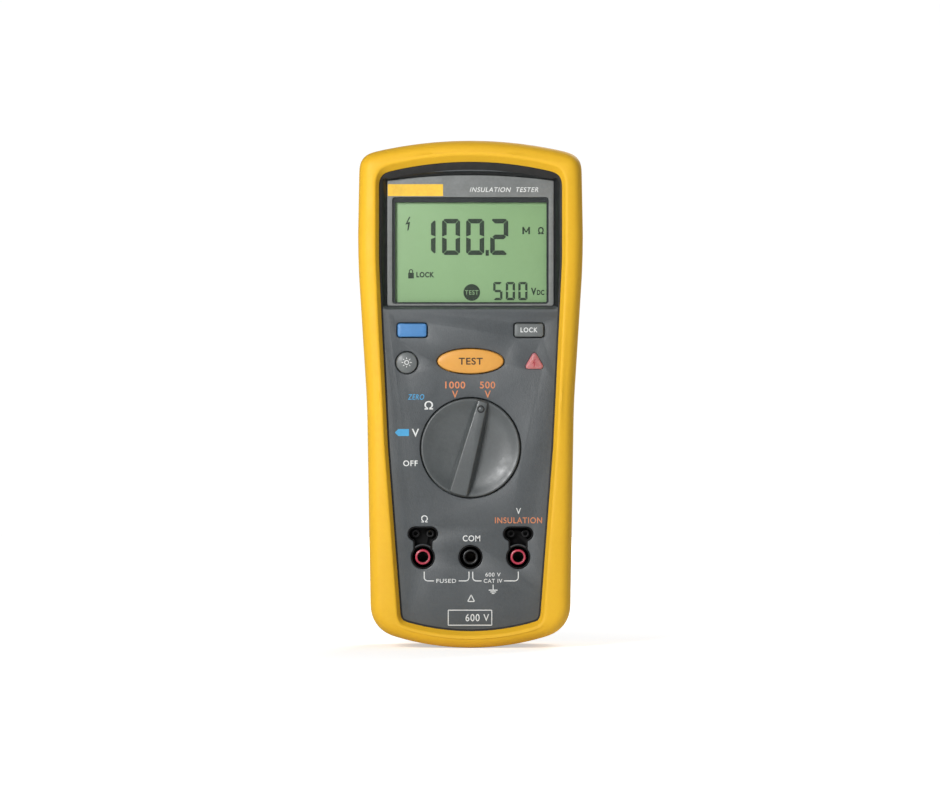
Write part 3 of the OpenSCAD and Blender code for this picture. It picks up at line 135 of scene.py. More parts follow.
def merged(node):
    """A copy of a CAD node's mesh, with its loose triangles joined into whole faces."""
    bm = bmesh.new()
    bm.from_mesh(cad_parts[node].data)
    flat_within = radians(1)
    bmesh.ops.remove_doubles(bm, verts=bm.verts, dist=WELD)
    bmesh.ops.dissolve_limit(bm, angle_limit=flat_within, verts=bm.verts, edges=bm.edges)
    return bm


def break_edges(bm, radius, where=lambda at: True, steps=3, sharper=40):
    """Rounds the edges that are sharper than an angle and whose two ends pass the test."""
    edges = [
        e for e in bm.edges
        if len(e.link_faces) == 2 and e.calc_face_angle() > radians(sharper)
        and all(where(v.co / MM) for v in e.verts)
    ]
    bmesh.ops.bevel(bm, geom=edges, offset=radius * MM, offset_type="OFFSET", affect="EDGES",
                    segments=steps, profile=0.5, material=-1, clamp_overlap=False)


def piece(name, bm, materials, body, slot, *replaced, crease=35):
    """Turns a worked mesh into a piece that moves with its CAD body."""
    mesh = bpy.data.meshes.new(name)
    bm.to_mesh(mesh)
    bm.free()
    for material in materials if isinstance(materials, (list, tuple)) else [materials]:
        mesh.materials.append(material)
    mesh.shade_smooth()
    mesh.set_sharp_from_angle(angle=radians(crease))
    thing = bpy.data.objects.new(name, mesh)
    bpy.context.scene.collection.objects.link(thing)
    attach(thing, body)
    if replaced:
        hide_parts(*replaced)
    return thing


def dress(material, *nodes):
    """Gives CAD nodes that stay as they are their finish."""
    for node in nodes:
        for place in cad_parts[node].material_slots:
            place.material = material


FACE_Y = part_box("front_case")[0][1] / MM
case_grey = finish("case_grey", colour(67, 72, 75), 0.44, grain=0.4, depth=0.08, cloud=14,
                   shift=0.13, worn=0.3, Specular_IOR_Level=0.85)
tub_painted_shade = finish("tub_painted_shade", colour(21, 24, 26), 0.38, grain=0.5, depth=0.006, cloud=10,
                  shift=0.06, worn=0.35)
FACE_SKIN = 0.05  # An edge nearer than this to a flat face belongs to it
face_break = 0.32
tub_over, tub_beside, tub_start = 6, 3.5, 0.1
bm = merged("front_case")
break_edges(bm, face_break, lambda at: at.y < FACE_Y + FACE_SKIN)
plate_low, plate_high = (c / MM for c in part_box("label_plate"))
# Faces sunk in the display tub take the near-black finish: painted shade on every wall of the
# recess.
for face in bm.faces:
    middle = face.calc_center_median() / MM
    in_tub = (plate_low.z < middle.z < plate_high.z + tub_over
              and abs(middle.x) < plate_high.x + tub_beside
              and FACE_Y + tub_start < middle.y < plate_high.y)
    if in_tub:
        face.material_index = 1
piece("front_shell", bm, [case_grey, tub_painted_shade], "tester", "grey_plastic", "front_case")


# ---- Back case, gasket and screws ----
# The back shell is moulded in the same grey ABS. A black foam cord seals it against
# the front shell, and four steel screws with crossed recesses sit deep in its wells.

back_y, back_break, screw_break = 22, 0.25, 0.12
bm = merged("back_case")
break_edges(bm, back_break, lambda at: at.y > back_y - 2 * FACE_SKIN)
piece("back_shell", bm, case_grey, "tester", "grey_plastic", "back_case")

foam = finish("foam_black", colour(24, 24, 25), 0.85, grain=0.3, depth=0.08, worn=0)
dress(foam, "case_gasket")

steel = finish("steel_plated", colour(176, 178, 180), 0.28, grain=0.25, depth=0.004, cloud=3,
               shift=0.08, worn=0.1, Metallic=1.0)
bm = merged("case_screws")
break_edges(bm, screw_break)
piece("shell_screws", bm, steel, "tester", "steel", "case_screws")


# ---- Holster ----
# A soft boot of yellow thermoplastic rubber, moulded in one piece and stretched over
# the case. Its edges are fully rounded and its mouth has a bevel that widens towards the
# ends. A near-black strip laid on the face inside the mouth is painted shade in the gap
# under the boot, widest over the display.

SPINE_LOW, SPINE_HIGH = 42, 158
SPOKE_R, SPOKE_REACH, SPOKES = 60, 150, 720
SMOOTHING = 6  # Passes over a traced outline
boot_yellow = finish("boot_yellow", colour(240, 185, 40), 0.56, grain=0.5, depth=0.02, cloud=26,
                     shift=0.035, worn=0.1, Specular_IOR_Level=0.35)


def spokes():
    """Rays from the spine of the body to its outline, evenly spread round it."""
    side, end = SPINE_HIGH - SPINE_LOW, pi * SPOKE_R
    for i in range(SPOKES):
        way = (side + end) * 2 * i / SPOKES
        half, way = divmod(way, side + end)
        turn = max(0, way - side) / SPOKE_R
        sign = 1 if half == 0 else -1
        height = min(way, side)
        start = SPINE_LOW + height if half == 0 else SPINE_HIGH - height
        yield Vector((0, 0, start)), Vector((cos(turn), 0, sin(turn))) * sign


boot_cad = merged("holster")
boot_tree = BVHTree.FromBMesh(boot_cad)


def traced(depth, outside):
    """The outline that the CAD holster has at one depth, in millimetres, smoothed."""
    ring = []
    for start, way in spokes():
        start = start + Vector((0, depth, 0))
        if outside:
            start, way = start + way * SPOKE_REACH, -way
        ring.append(boot_tree.ray_cast(start * MM, way)[0] / MM)
    for _ in range(SMOOTHING):
        ring = [(ring[i - 1] + ring[i] * 2 + ring[(i + 1) % SPOKES]) / 4 for i in range(SPOKES)]
    return ring


def drawn_in(ring, inset, depth):
    """A traced ring, drawn in by an inset that may depend on the outward direction."""
    out = []
    for i, point in enumerate(ring):
        along = ring[(i + 1) % SPOKES] - ring[i - 1]
        outward = Vector((along.z, 0, -along.x)).normalized()
        amount = inset(outward) if callable(inset) else inset
        place = point - outward * amount
        out.append(Vector((place.x, depth, place.z)) * MM)
    return out


def lofted(rings):
    """A closed loop of edges, extruded and moved from ring to ring and back to the first."""
    bm = bmesh.new()
    loop = [bm.verts.new(place) for place in rings[0]]
    for i, vert in enumerate(loop):
        bm.edges.new((loop[i - 1], vert))
    for ring in rings[1:] + rings[:1]:
        order = {vert: i for i, vert in enumerate(loop)}
        edges = [bm.edges.get((loop[i - 1], vert)) for i, vert in enumerate(loop)]
        made = bmesh.ops.extrude_edge_only(bm, edges=edges)["geom"]
        fresh = [None] * len(loop)
        for vert in (g for g in made if isinstance(g, bmesh.types.BMVert)):
            for edge in vert.link_edges:
                if edge.other_vert(vert) in order:
                    fresh[order[edge.other_vert(vert)]] = vert
        for vert, place in zip(fresh, ring):
            vert.co = place
        loop = fresh
    bmesh.ops.remove_doubles(bm, verts=bm.verts, dist=WELD)
    bmesh.ops.recalc_face_normals(bm, faces=bm.faces)
    return bm


def mouth_bevel(share, past=0):
    """A share of the bevel's width: widest over the display, narrow at the sides."""
    side, over, under = 1.3, 1.2, 0.4
    return lambda outward: -share * (side + over * max(0, outward.z) ** 2
                                     + under * max(0, -outward.z) ** 2) - past


def quarter(steps=6):
    """The angles of a rounded edge."""
    return (radians(90 / steps * k) for k in range(steps + 1))


flank_y, round_y, boot_back = 12, -24.8, 25
round_in, round_deep, back_round = 4.8, 6.5, 5
# Share of the bevel, width past it, and depth
mouth_profile = ((1, 1.3, -25), (1, 0.5, -24.95), (1, 0, -24.75), (0.9, 0, -24.45),
                 (0.12, 0, -22.35), (0, 0, -22.05), (0, 0, -21.55))
cavity_profile = ((0, -21.5), (0, 21.95))
back_profile = ((0, 22), (0, 24.2), (-0.25, 24.75), (-0.8, boot_back))
body_ring = traced(0, True)
mouth_ring = traced(-22, False)
cavity_ring = traced(0, False)
back_ring = traced(24, False)
rings = [drawn_in(body_ring, 0, flank_y)]
rings += [drawn_in(body_ring, round_in * (1 - cos(a)), round_y + round_deep * (1 - sin(a)))
          for a in quarter()]
rings += [drawn_in(mouth_ring, mouth_bevel(share, past), y) for share, past, y in mouth_profile]
rings += [drawn_in(cavity_ring, inset, y) for inset, y in cavity_profile]
rings += [drawn_in(back_ring, inset, y) for inset, y in back_profile]
rings += [drawn_in(body_ring, back_round * (1 - sin(a)), boot_back - back_round * (1 - cos(a)))
          for a in quarter()]
piece("holster_boot", lofted(rings), boot_yellow, "tester", "yellow_rubber", "holster", crease=50)



def gap_shade_width(side, over=2.4):
    """The painted shade strip's width: narrow at the sides, widest over the display."""
    return lambda outward: side + over * max(0, outward.z) ** 3


# A near-black strip on the face inside the mouth: painted shade of the gap under the boot.
gap_painted_shade = finish("gap_painted_shade", colour(12, 11, 10), 0.6, grain=0.4, depth=0.01, worn=0.1)
under_boot, shade_strip_top, shade_strip_foot, shade_strip_high, shade_strip_low = -0.2, 0.55, 0.75, 0.1, 0.02
rings = [
    drawn_in(mouth_ring, under_boot, FACE_Y + shade_strip_low),
    drawn_in(mouth_ring, under_boot, FACE_Y - shade_strip_high),
    drawn_in(mouth_ring, gap_shade_width(shade_strip_top), FACE_Y - shade_strip_high),
    drawn_in(mouth_ring, gap_shade_width(shade_strip_foot), FACE_Y - shade_strip_low),
    drawn_in(mouth_ring, gap_shade_width(shade_strip_foot), FACE_Y + shade_strip_low),
]
piece("mouth_gap_shade", lofted(rings), gap_painted_shade, "tester", "black_rubber")
boot_cad.free()


# ---- Display ----
# A speckled grey label plate round the window, with a plain yellow bar and a printed
# title. The clear window has a dark border, a thin frame line plus painted shadow of the
# window's wall, so it is wider at the top and on the left. Behind it, the liquid crystal
# glass shows its reading in dark segments over green.

def stamped(outlines, depth, thickness=0.04):
    """Flat shapes of X and Z in millimetres, extruded towards the front from a depth."""
    bm = bmesh.new()
    for outline in outlines:
        bm.faces.new([bm.verts.new(Vector((x, depth, z)) * MM) for x, z in outline])
    flat = list(bm.faces)
    made = bmesh.ops.extrude_face_region(bm, geom=flat)["geom"]
    verts = [g for g in made if isinstance(g, bmesh.types.BMVert)]
    bmesh.ops.translate(bm, verts=verts, vec=(0, -thickness * MM, 0))
    bmesh.ops.recalc_face_normals(bm, faces=bm.faces)
    return bm


def oblong(x0, z0, x1, z1):
    return [(x0, z0), (x1, z0), (x1, z1), (x0, z1)]


def bar(x0, z0, x1, z1, width):
    """The outline of a straight stroke between two points."""
    along = Vector((x1 - x0, z1 - z0)).normalized() * width / 2
    side = Vector((-along.y, along.x))
    return [(x0 + side.x, z0 + side.y), (x1 + side.x, z1 + side.y),
            (x1 - side.x, z1 - side.y), (x0 - side.x, z0 - side.y)]


def lettering(bm, words, x, z, height, width, depth, bold=0.0, slant=0.0, spacing=1.12):
    """Adds printed words, fitted to a height and width about a middle, just above a surface."""
    ink = 0.02
    curve = bpy.data.curves.new("words", "FONT")
    curve.body = words
    curve.offset = bold
    curve.space_character = spacing
    curve.shear = slant
    curve.extrude = ink / 2
    holder = bpy.data.objects.new("words", curve)
    bpy.context.scene.collection.objects.link(holder)
    mesh = bpy.data.meshes.new_from_object(holder)
    bpy.data.objects.remove(holder)
    low = [min(v.co[i] for v in mesh.vertices) for i in range(3)]
    high = [max(v.co[i] for v in mesh.vertices) for i in range(3)]
    scale_x, scale_z = width / (high[0] - low[0]), height / (high[1] - low[1])
    fit = Matrix.Translation(Vector((x, depth - ink, z)) * MM)
    fit @= Matrix.Rotation(pi / 2, 4, "X")
    fit @= Matrix.Diagonal((scale_x * MM, scale_z * MM, 2 * MM, 1))
    fit @= Matrix.Translation((-(low[0] + high[0]) / 2, -(low[1] + high[1]) / 2, 0))
    mesh.transform(fit)
    bm.from_mesh(mesh)
    bpy.data.meshes.remove(mesh)


def segments(digit, x, z, w, h, s):
    """The lit segments of a seven-bar figure of a width, height and bar width, from its
    lower left corner. Its letters are a corner's cut, a gap, the middle and its gap."""
    q, g, m, n = 0.55 * s, 0.09, h / 2, 0.07 * s
    shapes = {
        "a": [(q / 2 + g, h - q / 2), (q, h), (w - q, h), (w - q / 2 - g, h - q / 2),
              (w - s - g, h - s), (s + g, h - s)],
        "b": [(w - q / 2, h - q / 2 - g), (w, h - q), (w, m + n), (w - s, m + 0.45 * s),
              (w - s, h - s - g)],
        "c": [(w, m - n), (w, q), (w - q / 2, q / 2 + g), (w - s, s + g), (w - s, m - 0.45 * s)],
        "d": [(q / 2 + g, q / 2), (q, 0), (w - q, 0), (w - q / 2 - g, q / 2), (w - s - g, s),
              (s + g, s)],
        "e": [(0, m - n), (0, q), (q / 2, q / 2 + g), (s, s + g), (s, m - 0.45 * s)],
        "f": [(q / 2, h - q / 2 - g), (0, h - q), (0, m + n), (s, m + 0.45 * s), (s, h - s - g)],
        "g": [(0.45 * s, m), (s, m + s / 2), (w - s, m + s / 2), (w - 0.45 * s, m),
              (w - s, m - s / 2), (s, m - s / 2)],
    }
    lit = {"0": "abcdef", "1": "bc", "2": "abged", "5": "afgcd"}[digit]
    return [[(x + px, z + pz) for px, pz in shapes[name]] for name in lit]


def bolt(x, z, w, h):
    """A lightning bolt about a middle."""
    points = [(0.25, 1), (-0.95, -0.12), (-0.1, -0.02), (-0.35, -1), (0.1, -0.85), (0.55, 0.3),
              (-0.25, 0.18), (0.65, 0.95)]
    return [(x + w / 2 * px, z + h / 2 * pz) for px, pz in points]


def disc(x, z, r, steps=40):
    return [(x + r * cos(2 * pi * i / steps), z + r * sin(2 * pi * i / steps))
            for i in range(steps)]


LABEL_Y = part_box("label_plate")[0][1] / MM
GLASS_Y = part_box("display_glass")[0][1] / MM
label_break, glass_break = 0.2, 0.15
label_grey = finish("label_grey", colour(118, 121, 120), 0.5, grain=0.3, depth=0.02, cloud=5,
                    shift=0.1, worn=0.3)
bm = merged("label_plate")
break_edges(bm, label_break, lambda at: at.y < LABEL_Y + FACE_SKIN)
piece("label_surround", bm, label_grey, "tester", "label_grey", "label_plate")

bar_yellow = finish("bar_yellow", colour(240, 190, 62), 0.4, grain=0.3, depth=0.008, worn=0)
piece("label_bar", stamped([oblong(-33.1, 180.8, -11, 185.6)], LABEL_Y), bar_yellow, "tester",
      "orange_plastic")
print_white = finish("print_white", colour(222, 224, 222), 0.5, grain=0.2, depth=0.005, worn=0)
title = bmesh.new()
lettering(title, "INSULATION  TESTER", 13.4, 183.4, 1.9, 27.4, LABEL_Y, 0.005, 0.25)
piece("label_title", title, print_white, "tester", "white_plastic")

lcd_green = finish("lcd_green", colour(146, 184, 132), 0.45, grain=0.6, depth=0.003, cloud=30,
                   shift=0.03, worn=0, Coat_Weight=0.1)
bm = merged("display_glass")
break_edges(bm, glass_break)
piece("crystal_glass", bm, lcd_green, "tester", "lcd_green", "display_glass")

figures = []
digit_z, digit_w, digit_h, digit_bar = 157.3, 7.25, 14.5, 1.85
small_z, small_w, small_h, small_bar = 139.2, 3.7, 7.3, 0.95
figures += segments("1", -21.2, digit_z, digit_w - 0.05, digit_h, digit_bar)
for digit, x in (("0", -11.4), ("0", -1.75), ("2", 7.9)):
    figures += segments(digit, x, digit_z, digit_w, digit_h, digit_bar)
figures.append(oblong(6.05, digit_z - 0.3, 7.35, digit_z + 2))
for digit, x in (("5", 9.1), ("0", 14.15), ("0", 19.15)):
    figures += segments(digit, x, small_z, small_w, small_h, small_bar)
figures.append(bolt(-24.9, 169.8, 2.6, 5.8))
figures.append(oblong(-25, 147.9, -22.7, 150.2))
figures.append([(-24.7, 150.1), (-24.7, 151), (-24.3, 151.6), (-23.4, 151.6), (-23, 151),
                (-23, 150.1), (-23.4, 150.1), (-23.4, 150.9), (-23.6, 151.2), (-24.1, 151.2),
                (-24.3, 150.9), (-24.3, 150.1)])
word_x, word_z = 0.5, 142.3
figures.append(disc(word_x, word_z, 3.35))
for side in (-1, 1):
    leg, mid = 22.3 + 1.2 * side, 22.3
    figures += [bar(leg, 165.65, leg, 168.55, 0.7), bar(leg, 168.4, mid, 166.4, 0.5)]
crystal_dark = finish("crystal_dark", colour(38, 56, 40), 0.5, grain=0.4, depth=0.003, worn=0)
bm = stamped(figures, GLASS_Y)
for words, x, z, height, width, bold in (
        ("Ω", 28.2, 167.1, 2.9, 2.3, 0.035), ("LOCK", -18.1, 149.4, 2.2, 7.2, 0.042),
        ("V", 25.3, 142.7, 2.9, 2.2, 0.045), ("DC", 28.1, 142.3, 2.1, 3.0, 0.042)):
    lettering(bm, words, x, z, height, width, GLASS_Y, bold)
piece("crystal_figures", bm, crystal_dark, "tester", "black_plastic")
bm = bmesh.new()
lettering(bm, "TEST", word_x, word_z, 1.8, 5.4, GLASS_Y - 0.05, 0.003)
piece("crystal_test_word", bm, lcd_green, "tester", "lcd_green")

window = finish("clear_window", colour(60, 68, 64), 0.08, grain=2, depth=0.002, cloud=20,
                shift=0.02, worn=0, Alpha=0.05, IOR=1.49)
bm = merged("display_lens")
break_edges(bm, glass_break)
piece("window_pane", bm, window, "tester", "clear_window", "display_lens")

low, high = (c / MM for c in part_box("display_lens"))
# Wider at the top and on the left: painted shadow that the window's wall casts, over a thin frame
# line.
border_left, border_right, border_top, border_foot = 1.1, 0.8, 2.0, 0.6
left, right = low.x + border_left, high.x - border_right
top, foot = high.z - border_top, low.z + border_foot
border = stamped([oblong(low.x, low.z, high.x, foot), oblong(low.x, top, high.x, high.z),
                  oblong(low.x, foot, left, top), oblong(right, foot, high.x, top)],
                 high.y - 0.01)
frame_and_shadow_dark = finish("frame_and_shadow_dark", colour(30, 36, 37), 0.4, grain=0.3, depth=0.004, worn=0)
piece("window_border_and_shadow", border, frame_and_shadow_dark, "tester", "black_plastic")

guide_white = finish("guide_white", colour(226, 228, 222), 0.35, grain=1.2, depth=0.02, worn=0.1,
                     Subsurface_Weight=0.2)
frame_black = finish("frame_black", colour(30, 31, 32), 0.5, grain=0.4, depth=0.02)
zebra_pink = finish("zebra_pink", colour(196, 120, 132), 0.7, grain=0.2, depth=0.03,
                    stretch=(4, 1, 1), worn=0)
dress(guide_white, "light_guide")
dress(frame_black, "display_frame")
dress(zebra_pink, "contact_strips")


# ---- Keys ----
# Four hard key caps over one soft silicone mat: a plain blue one, a grey one with its
# word, a domed round one with a lamp sign, and the long orange oval of the test key.
# Each cap is printed, and a flange behind the face holds it in.

def crowned(node, edge, steps):
    """A CAD key whose front is rounded at its edge, then raised in steps of (inset, rise)."""
    bm = merged(node)
    near = 0.01
    top = min(v.co.y for v in bm.verts)
    break_edges(bm, edge, lambda at: at.y < top / MM + near)
    front = max((f for f in bm.faces if max(v.co.y for v in f.verts) < top + near * MM),
                key=lambda f: f.calc_area())
    low = Vector(min(v.co[i] for v in front.verts) for i in range(3))
    high = Vector(max(v.co[i] for v in front.verts) for i in range(3))
    middle, half = (low + high) / 2, (high - low) / 2
    for inset, rise in steps:
        front = bmesh.ops.extrude_discrete_faces(bm, faces=[front])["faces"][0]
        for vert in front.verts:
            for axis in (0, 2):
                share = 1 - inset * MM / half[axis]
                vert.co[axis] = middle[axis] + (vert.co[axis] - middle[axis]) * share
            vert.co.y -= rise * MM
        half -= Vector((inset, 0, inset)) * MM
    return bm


def joined(*parts):
    """Several worked meshes as one."""
    whole = bmesh.new()
    for part in parts:
        mesh = bpy.data.meshes.new("part")
        part.to_mesh(mesh)
        part.free()
        whole.from_mesh(mesh)
        bpy.data.meshes.remove(mesh)
    return whole


key_blue = finish("key_blue", colour(74, 131, 188), 0.42, grain=0.5, depth=0.008, cloud=6,
                  shift=0.05, worn=0.3)
key_grey = finish("key_grey", colour(104, 108, 108), 0.4, grain=0.5, depth=0.008, cloud=6,
                  shift=0.07, worn=0.25)
key_orange = finish("key_orange", colour(224, 160, 72), 0.42, grain=0.5, depth=0.008, cloud=8,
                    shift=0.04, worn=0.12)
print_dark = finish("print_dark", colour(62, 44, 30), 0.5, grain=0.2, depth=0.004, worn=0)
flat_edge, round_edge = 0.45, 0.6
flat_crown = ((0.5, 0.1), (0.8, 0.08))
dome_crown = ((0.6, 0.22), (0.7, 0.18), (0.8, 0.1), (0.8, 0.05))
oval_crown = ((0.7, 0.14), (0.9, 0.1), (1.1, 0.05))
piece("blue_cap", crowned("blue_key", flat_edge, flat_crown), key_blue, "blue_key",
      "blue_plastic", "blue_key")
piece("lock_cap", crowned("lock_key", flat_edge, flat_crown), key_grey, "lock_key",
      "grey_plastic", "lock_key")
piece("lamp_cap", crowned("lamp_key", round_edge, dome_crown), key_grey, "lamp_key",
      "grey_plastic", "lamp_key", crease=50)
piece("test_cap", crowned("test_key", round_edge, oval_crown), key_orange, "test_key",
      "orange_plastic", "test_key", crease=50)



def crown_top(crown):
    """The depth of a print on a key's crown, just clear of it."""
    clear = 0.01
    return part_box("test_key")[0][1] / MM - sum(rise for _, rise in crown) - clear


bm = bmesh.new()
lettering(bm, "LOCK", 23.4, 127.2, 1.95, 6.8, crown_top(flat_crown), 0.015)
piece("lock_word", bm, print_white, "lock_key", "white_plastic")
bm = bmesh.new()
lettering(bm, "TEST", 0.1, 114.7, 2.8, 9.6, crown_top(oval_crown), 0.018)
piece("test_word", bm, print_dark, "test_key", "black_plastic")
sun_x, sun_z, sun_top = -25.5, 114.2, crown_top(dome_crown)
sun_r, ray_in, ray_out, ring_w, ray_w, ring_arc = 0.8, 1.35, 2.0, 0.34, 0.28, 0.32


def about_sun(r, angle):
    return sun_x + r * cos(angle), sun_z + r * sin(angle)


rays = [bar(*about_sun(ray_in, a), *about_sun(ray_out, a), ray_w)
        for a in (radians(45 * k) for k in range(8))]
ring = [bar(*about_sun(sun_r, a), *about_sun(sun_r, a + ring_arc), ring_w)
        for a in (2 * pi * k / 20 for k in range(20))]
bm = joined(stamped(rays, sun_top), stamped(ring, sun_top - 0.01))
piece("lamp_sign", bm, print_white, "lamp_key", "white_plastic")
silicone = finish("silicone_pale", colour(214, 214, 206), 0.6, grain=0.6, depth=0.02, worn=0,
                  Subsurface_Weight=0.3)
dress(silicone, "key_mat")


# ---- Warning lamp ----
# A triangular lens of red polycarbonate with a raised middle and a bolt in it. A red
# LED lights it from the board behind.

lens_red = finish("lens_red", colour(222, 122, 124), 0.25, grain=0.8, depth=0.01, cloud=3,
                  shift=0.06, worn=0.35, Coat_Weight=0.4, Subsurface_Weight=0.3)
bm = merged("warning_lens")
lens_rim, lens_slope, lens_rise = 0.55, 0.35, 0.45
front = min(bm.faces, key=lambda f: f.calc_center_median().y)
for inset in (lens_rim, lens_slope):
    bmesh.ops.inset_region(bm, faces=[front], thickness=inset * MM, use_even_offset=True)
bmesh.ops.translate(bm, verts=front.verts, vec=(0, -lens_rise * MM, 0))
piece("lamp_lens", bm, lens_red, "tester", "red_lens", "warning_lens")
bolt_red = finish("bolt_red", colour(176, 62, 72), 0.35, grain=0.4, depth=0.004, worn=0)
low, high = (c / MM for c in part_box("warning_lens"))
piece("lamp_bolt", stamped([bolt((low.x + high.x) / 2, 113.9, 1.7, 3.4)], low.y - lens_rise),
      bolt_red, "tester", "red_plastic")
led_red = finish("led_red", colour(206, 40, 40), 0.15, grain=1, depth=0.004, worn=0,
                 Coat_Weight=0.5)
dress(led_red, "warning_led")


# ---- Selector ----
# A dished knob with a rounded rim and a tapered grip bar, moulded in grey nylon on a
# steel shaft. A domed dot marks its pointing end, set in a near-black ring that is
# painted shade of the groove round it. Behind the face it turns a rotor with three
# wiping contacts, and a ball in a leaf spring finds each setting.

def turned(profile, x, z, steps=96):
    """A profile of (radius, depth) points in millimetres, spun round an axis along Y."""
    bm = bmesh.new()
    verts = [bm.verts.new(Vector((x + r, y, z)) * MM) for r, y in profile]
    for first, second in zip(verts, verts[1:]):
        bm.edges.new((first, second))
    bmesh.ops.spin(bm, geom=bm.verts[:] + bm.edges[:], cent=Vector((x, 0, z)) * MM,
                   axis=(0, 1, 0), angle=2 * pi, steps=steps, use_merge=True)
    bmesh.ops.remove_doubles(bm, verts=bm.verts, dist=WELD)
    bmesh.ops.recalc_face_normals(bm, faces=bm.faces)
    return bm


knob_low, knob_high = (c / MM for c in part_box("selector_knob"))
knob_r = (knob_high.x - knob_low.x) / 2
knob_z = (knob_high.z + knob_low.z) / 2
hub_r, hub_bore, hub_end, dish_under = 4.95, 3.0, knob_high.y, -18.9
drawn_r = 19.8  # The radius that the dish's profile is drawn at
knob_grey = finish("knob_grey", colour(70, 75, 76), 0.42, grain=0.45, depth=0.04, cloud=8,
                   shift=0.1, worn=0.3, Specular_IOR_Level=1.0)
dish = [(0, -20.1), (4, -20.13), (8, -20.28), (11, -20.55), (13.2, -20.86), (15, -21.28),
        (16.3, -21.74), (17.4, -22.24), (18.3, -22.64), (18.9, -22.88), (19.25, -22.96),
        (19.55, -22.86), (19.72, -22.5), (19.8, -21.9), (19.8, -19.2), (19.6, dish_under),
        (5.0, dish_under), (hub_r, dish_under), (hub_r, hub_end), (hub_bore, hub_end),
        (hub_bore, dish_under), (0, dish_under)]
knob = turned([(r * knob_r / drawn_r, y) for r, y in dish], 0, knob_z)

grip_top, grip_foot = knob_low.y, -19.8
tip_half, tail_half, draft = 1.85, 3.55, 1.7
foot_in, top_in, grip_break = 0.15, 0.55, 0.45
grip = bmesh.new()
bmesh.ops.create_cone(grip, cap_ends=True, segments=120, radius1=(knob_r - foot_in) * MM,
                      radius2=(knob_r - top_in) * MM, depth=(grip_foot - grip_top) * MM,
                      matrix=Matrix.Translation(Vector((0, (grip_top + grip_foot) / 2, 0)) * MM)
                      @ Matrix.Rotation(pi / 2, 4, "X"))
for side in (-1, 1):
    edge_tail = Vector((side * tail_half, grip_top, -knob_r))
    edge_tip = Vector((side * tip_half, grip_top, knob_r))
    lower = Vector((side * (tail_half + draft), grip_foot, -knob_r))
    normal = (edge_tip - edge_tail).cross(lower - edge_tail).normalized()
    normal *= 1 if normal.x * side > 0 else -1
    cut = bmesh.ops.bisect_plane(grip, geom=grip.verts[:] + grip.edges[:] + grip.faces[:],
                                 plane_co=edge_tail * MM, plane_no=normal, clear_outer=True)
    rim = [g for g in cut["geom_cut"] if isinstance(g, bmesh.types.BMEdge)]
    bmesh.ops.edgeloop_fill(grip, edges=rim)
bmesh.ops.recalc_face_normals(grip, faces=grip.faces)
break_edges(grip, grip_break, lambda at: at.y < grip_foot - 0.1, steps=4)
pointer = radians(15)
turn = Matrix.Translation((0, 0, knob_z * MM)) @ Matrix.Rotation(pointer, 4, "Y")
bmesh.ops.transform(grip, matrix=turn, verts=grip.verts)
piece("knob_dish", knob, knob_grey, "selector", "knob_grey", "selector_knob", crease=50)
piece("knob_grip", grip, knob_grey, "selector", "knob_grey", crease=40)

dot_reach = 16.0
dot_x, dot_z = dot_reach * sin(pointer), knob_z + dot_reach * cos(pointer)
# A near-black ring round the dot: painted shade of the groove that it sits in.
groove_painted_shade = finish("groove_painted_shade", colour(24, 25, 26), 0.35, grain=0.4, depth=0.004, worn=0)
piece("pointer_groove_shade", turned([(0, grip_top - 0.03), (1.5, grip_top - 0.03), (1.6, grip_top + 0.1),
                              (0, grip_top + 0.1)], dot_x, dot_z, 40),
      groove_painted_shade, "selector", "black_plastic")
piece("pointer_dot", turned([(0, grip_top - 0.38), (0.5, grip_top - 0.33), (0.85, grip_top - 0.2),
                             (1.1, grip_top), (1.1, grip_top + 0.1), (0, grip_top + 0.1)],
                            dot_x, dot_z, 40),
      knob_grey, "selector", "knob_grey", crease=60)

nylon = finish("nylon_ivory", colour(222, 216, 196), 0.45, grain=0.6, depth=0.01)
brass = finish("brass_plated", colour(206, 168, 84), 0.3, grain=0.3, depth=0.004, cloud=4,
               shift=0.08, worn=0.1, Metallic=1.0)
seal_rubber = finish("seal_rubber", colour(28, 28, 29), 0.6, grain=0.4, depth=0.02, worn=0.1)
dress(nylon, "selector_rotor")
dress(brass, "rotor_wipers")
dress(steel, "selector_shaft", "shaft_clip", "detent_spring", "detent_ball")
dress(seal_rubber, "knob_seal")


# ---- Jacks ----
# A black nylon block behind the face holds the wells. In each stands a post, red at
# both sides and black in the middle, over a turned and plated brass sleeve for a 4 mm
# plug, darkened as painted shade at the foot of the bore. The slots over the outer jacks
# have two small tubes each, for a remote probe.

jack_black = finish("jack_black", colour(7, 7, 8), 0.55, grain=0.4, depth=0.01, cloud=6,
                    shift=0.1, worn=0.2, Specular_IOR_Level=0.25)
post_red = finish("post_red", colour(190, 58, 80), 0.35, grain=0.5, depth=0.006, cloud=4,
                  shift=0.05, worn=0.2, Coat_Weight=0.2)
post_black = finish("post_black", colour(21, 22, 23), 0.4, grain=0.5, depth=0.006, worn=0.2)
well_break, tube_break, post_bore = 0.15, 0.12, 2.2
bm = merged("jack_block")
break_edges(bm, well_break, lambda at: at.y < FACE_Y + FACE_SKIN)
piece("jack_housing", bm, jack_black, "tester", "black_plastic", "jack_block")

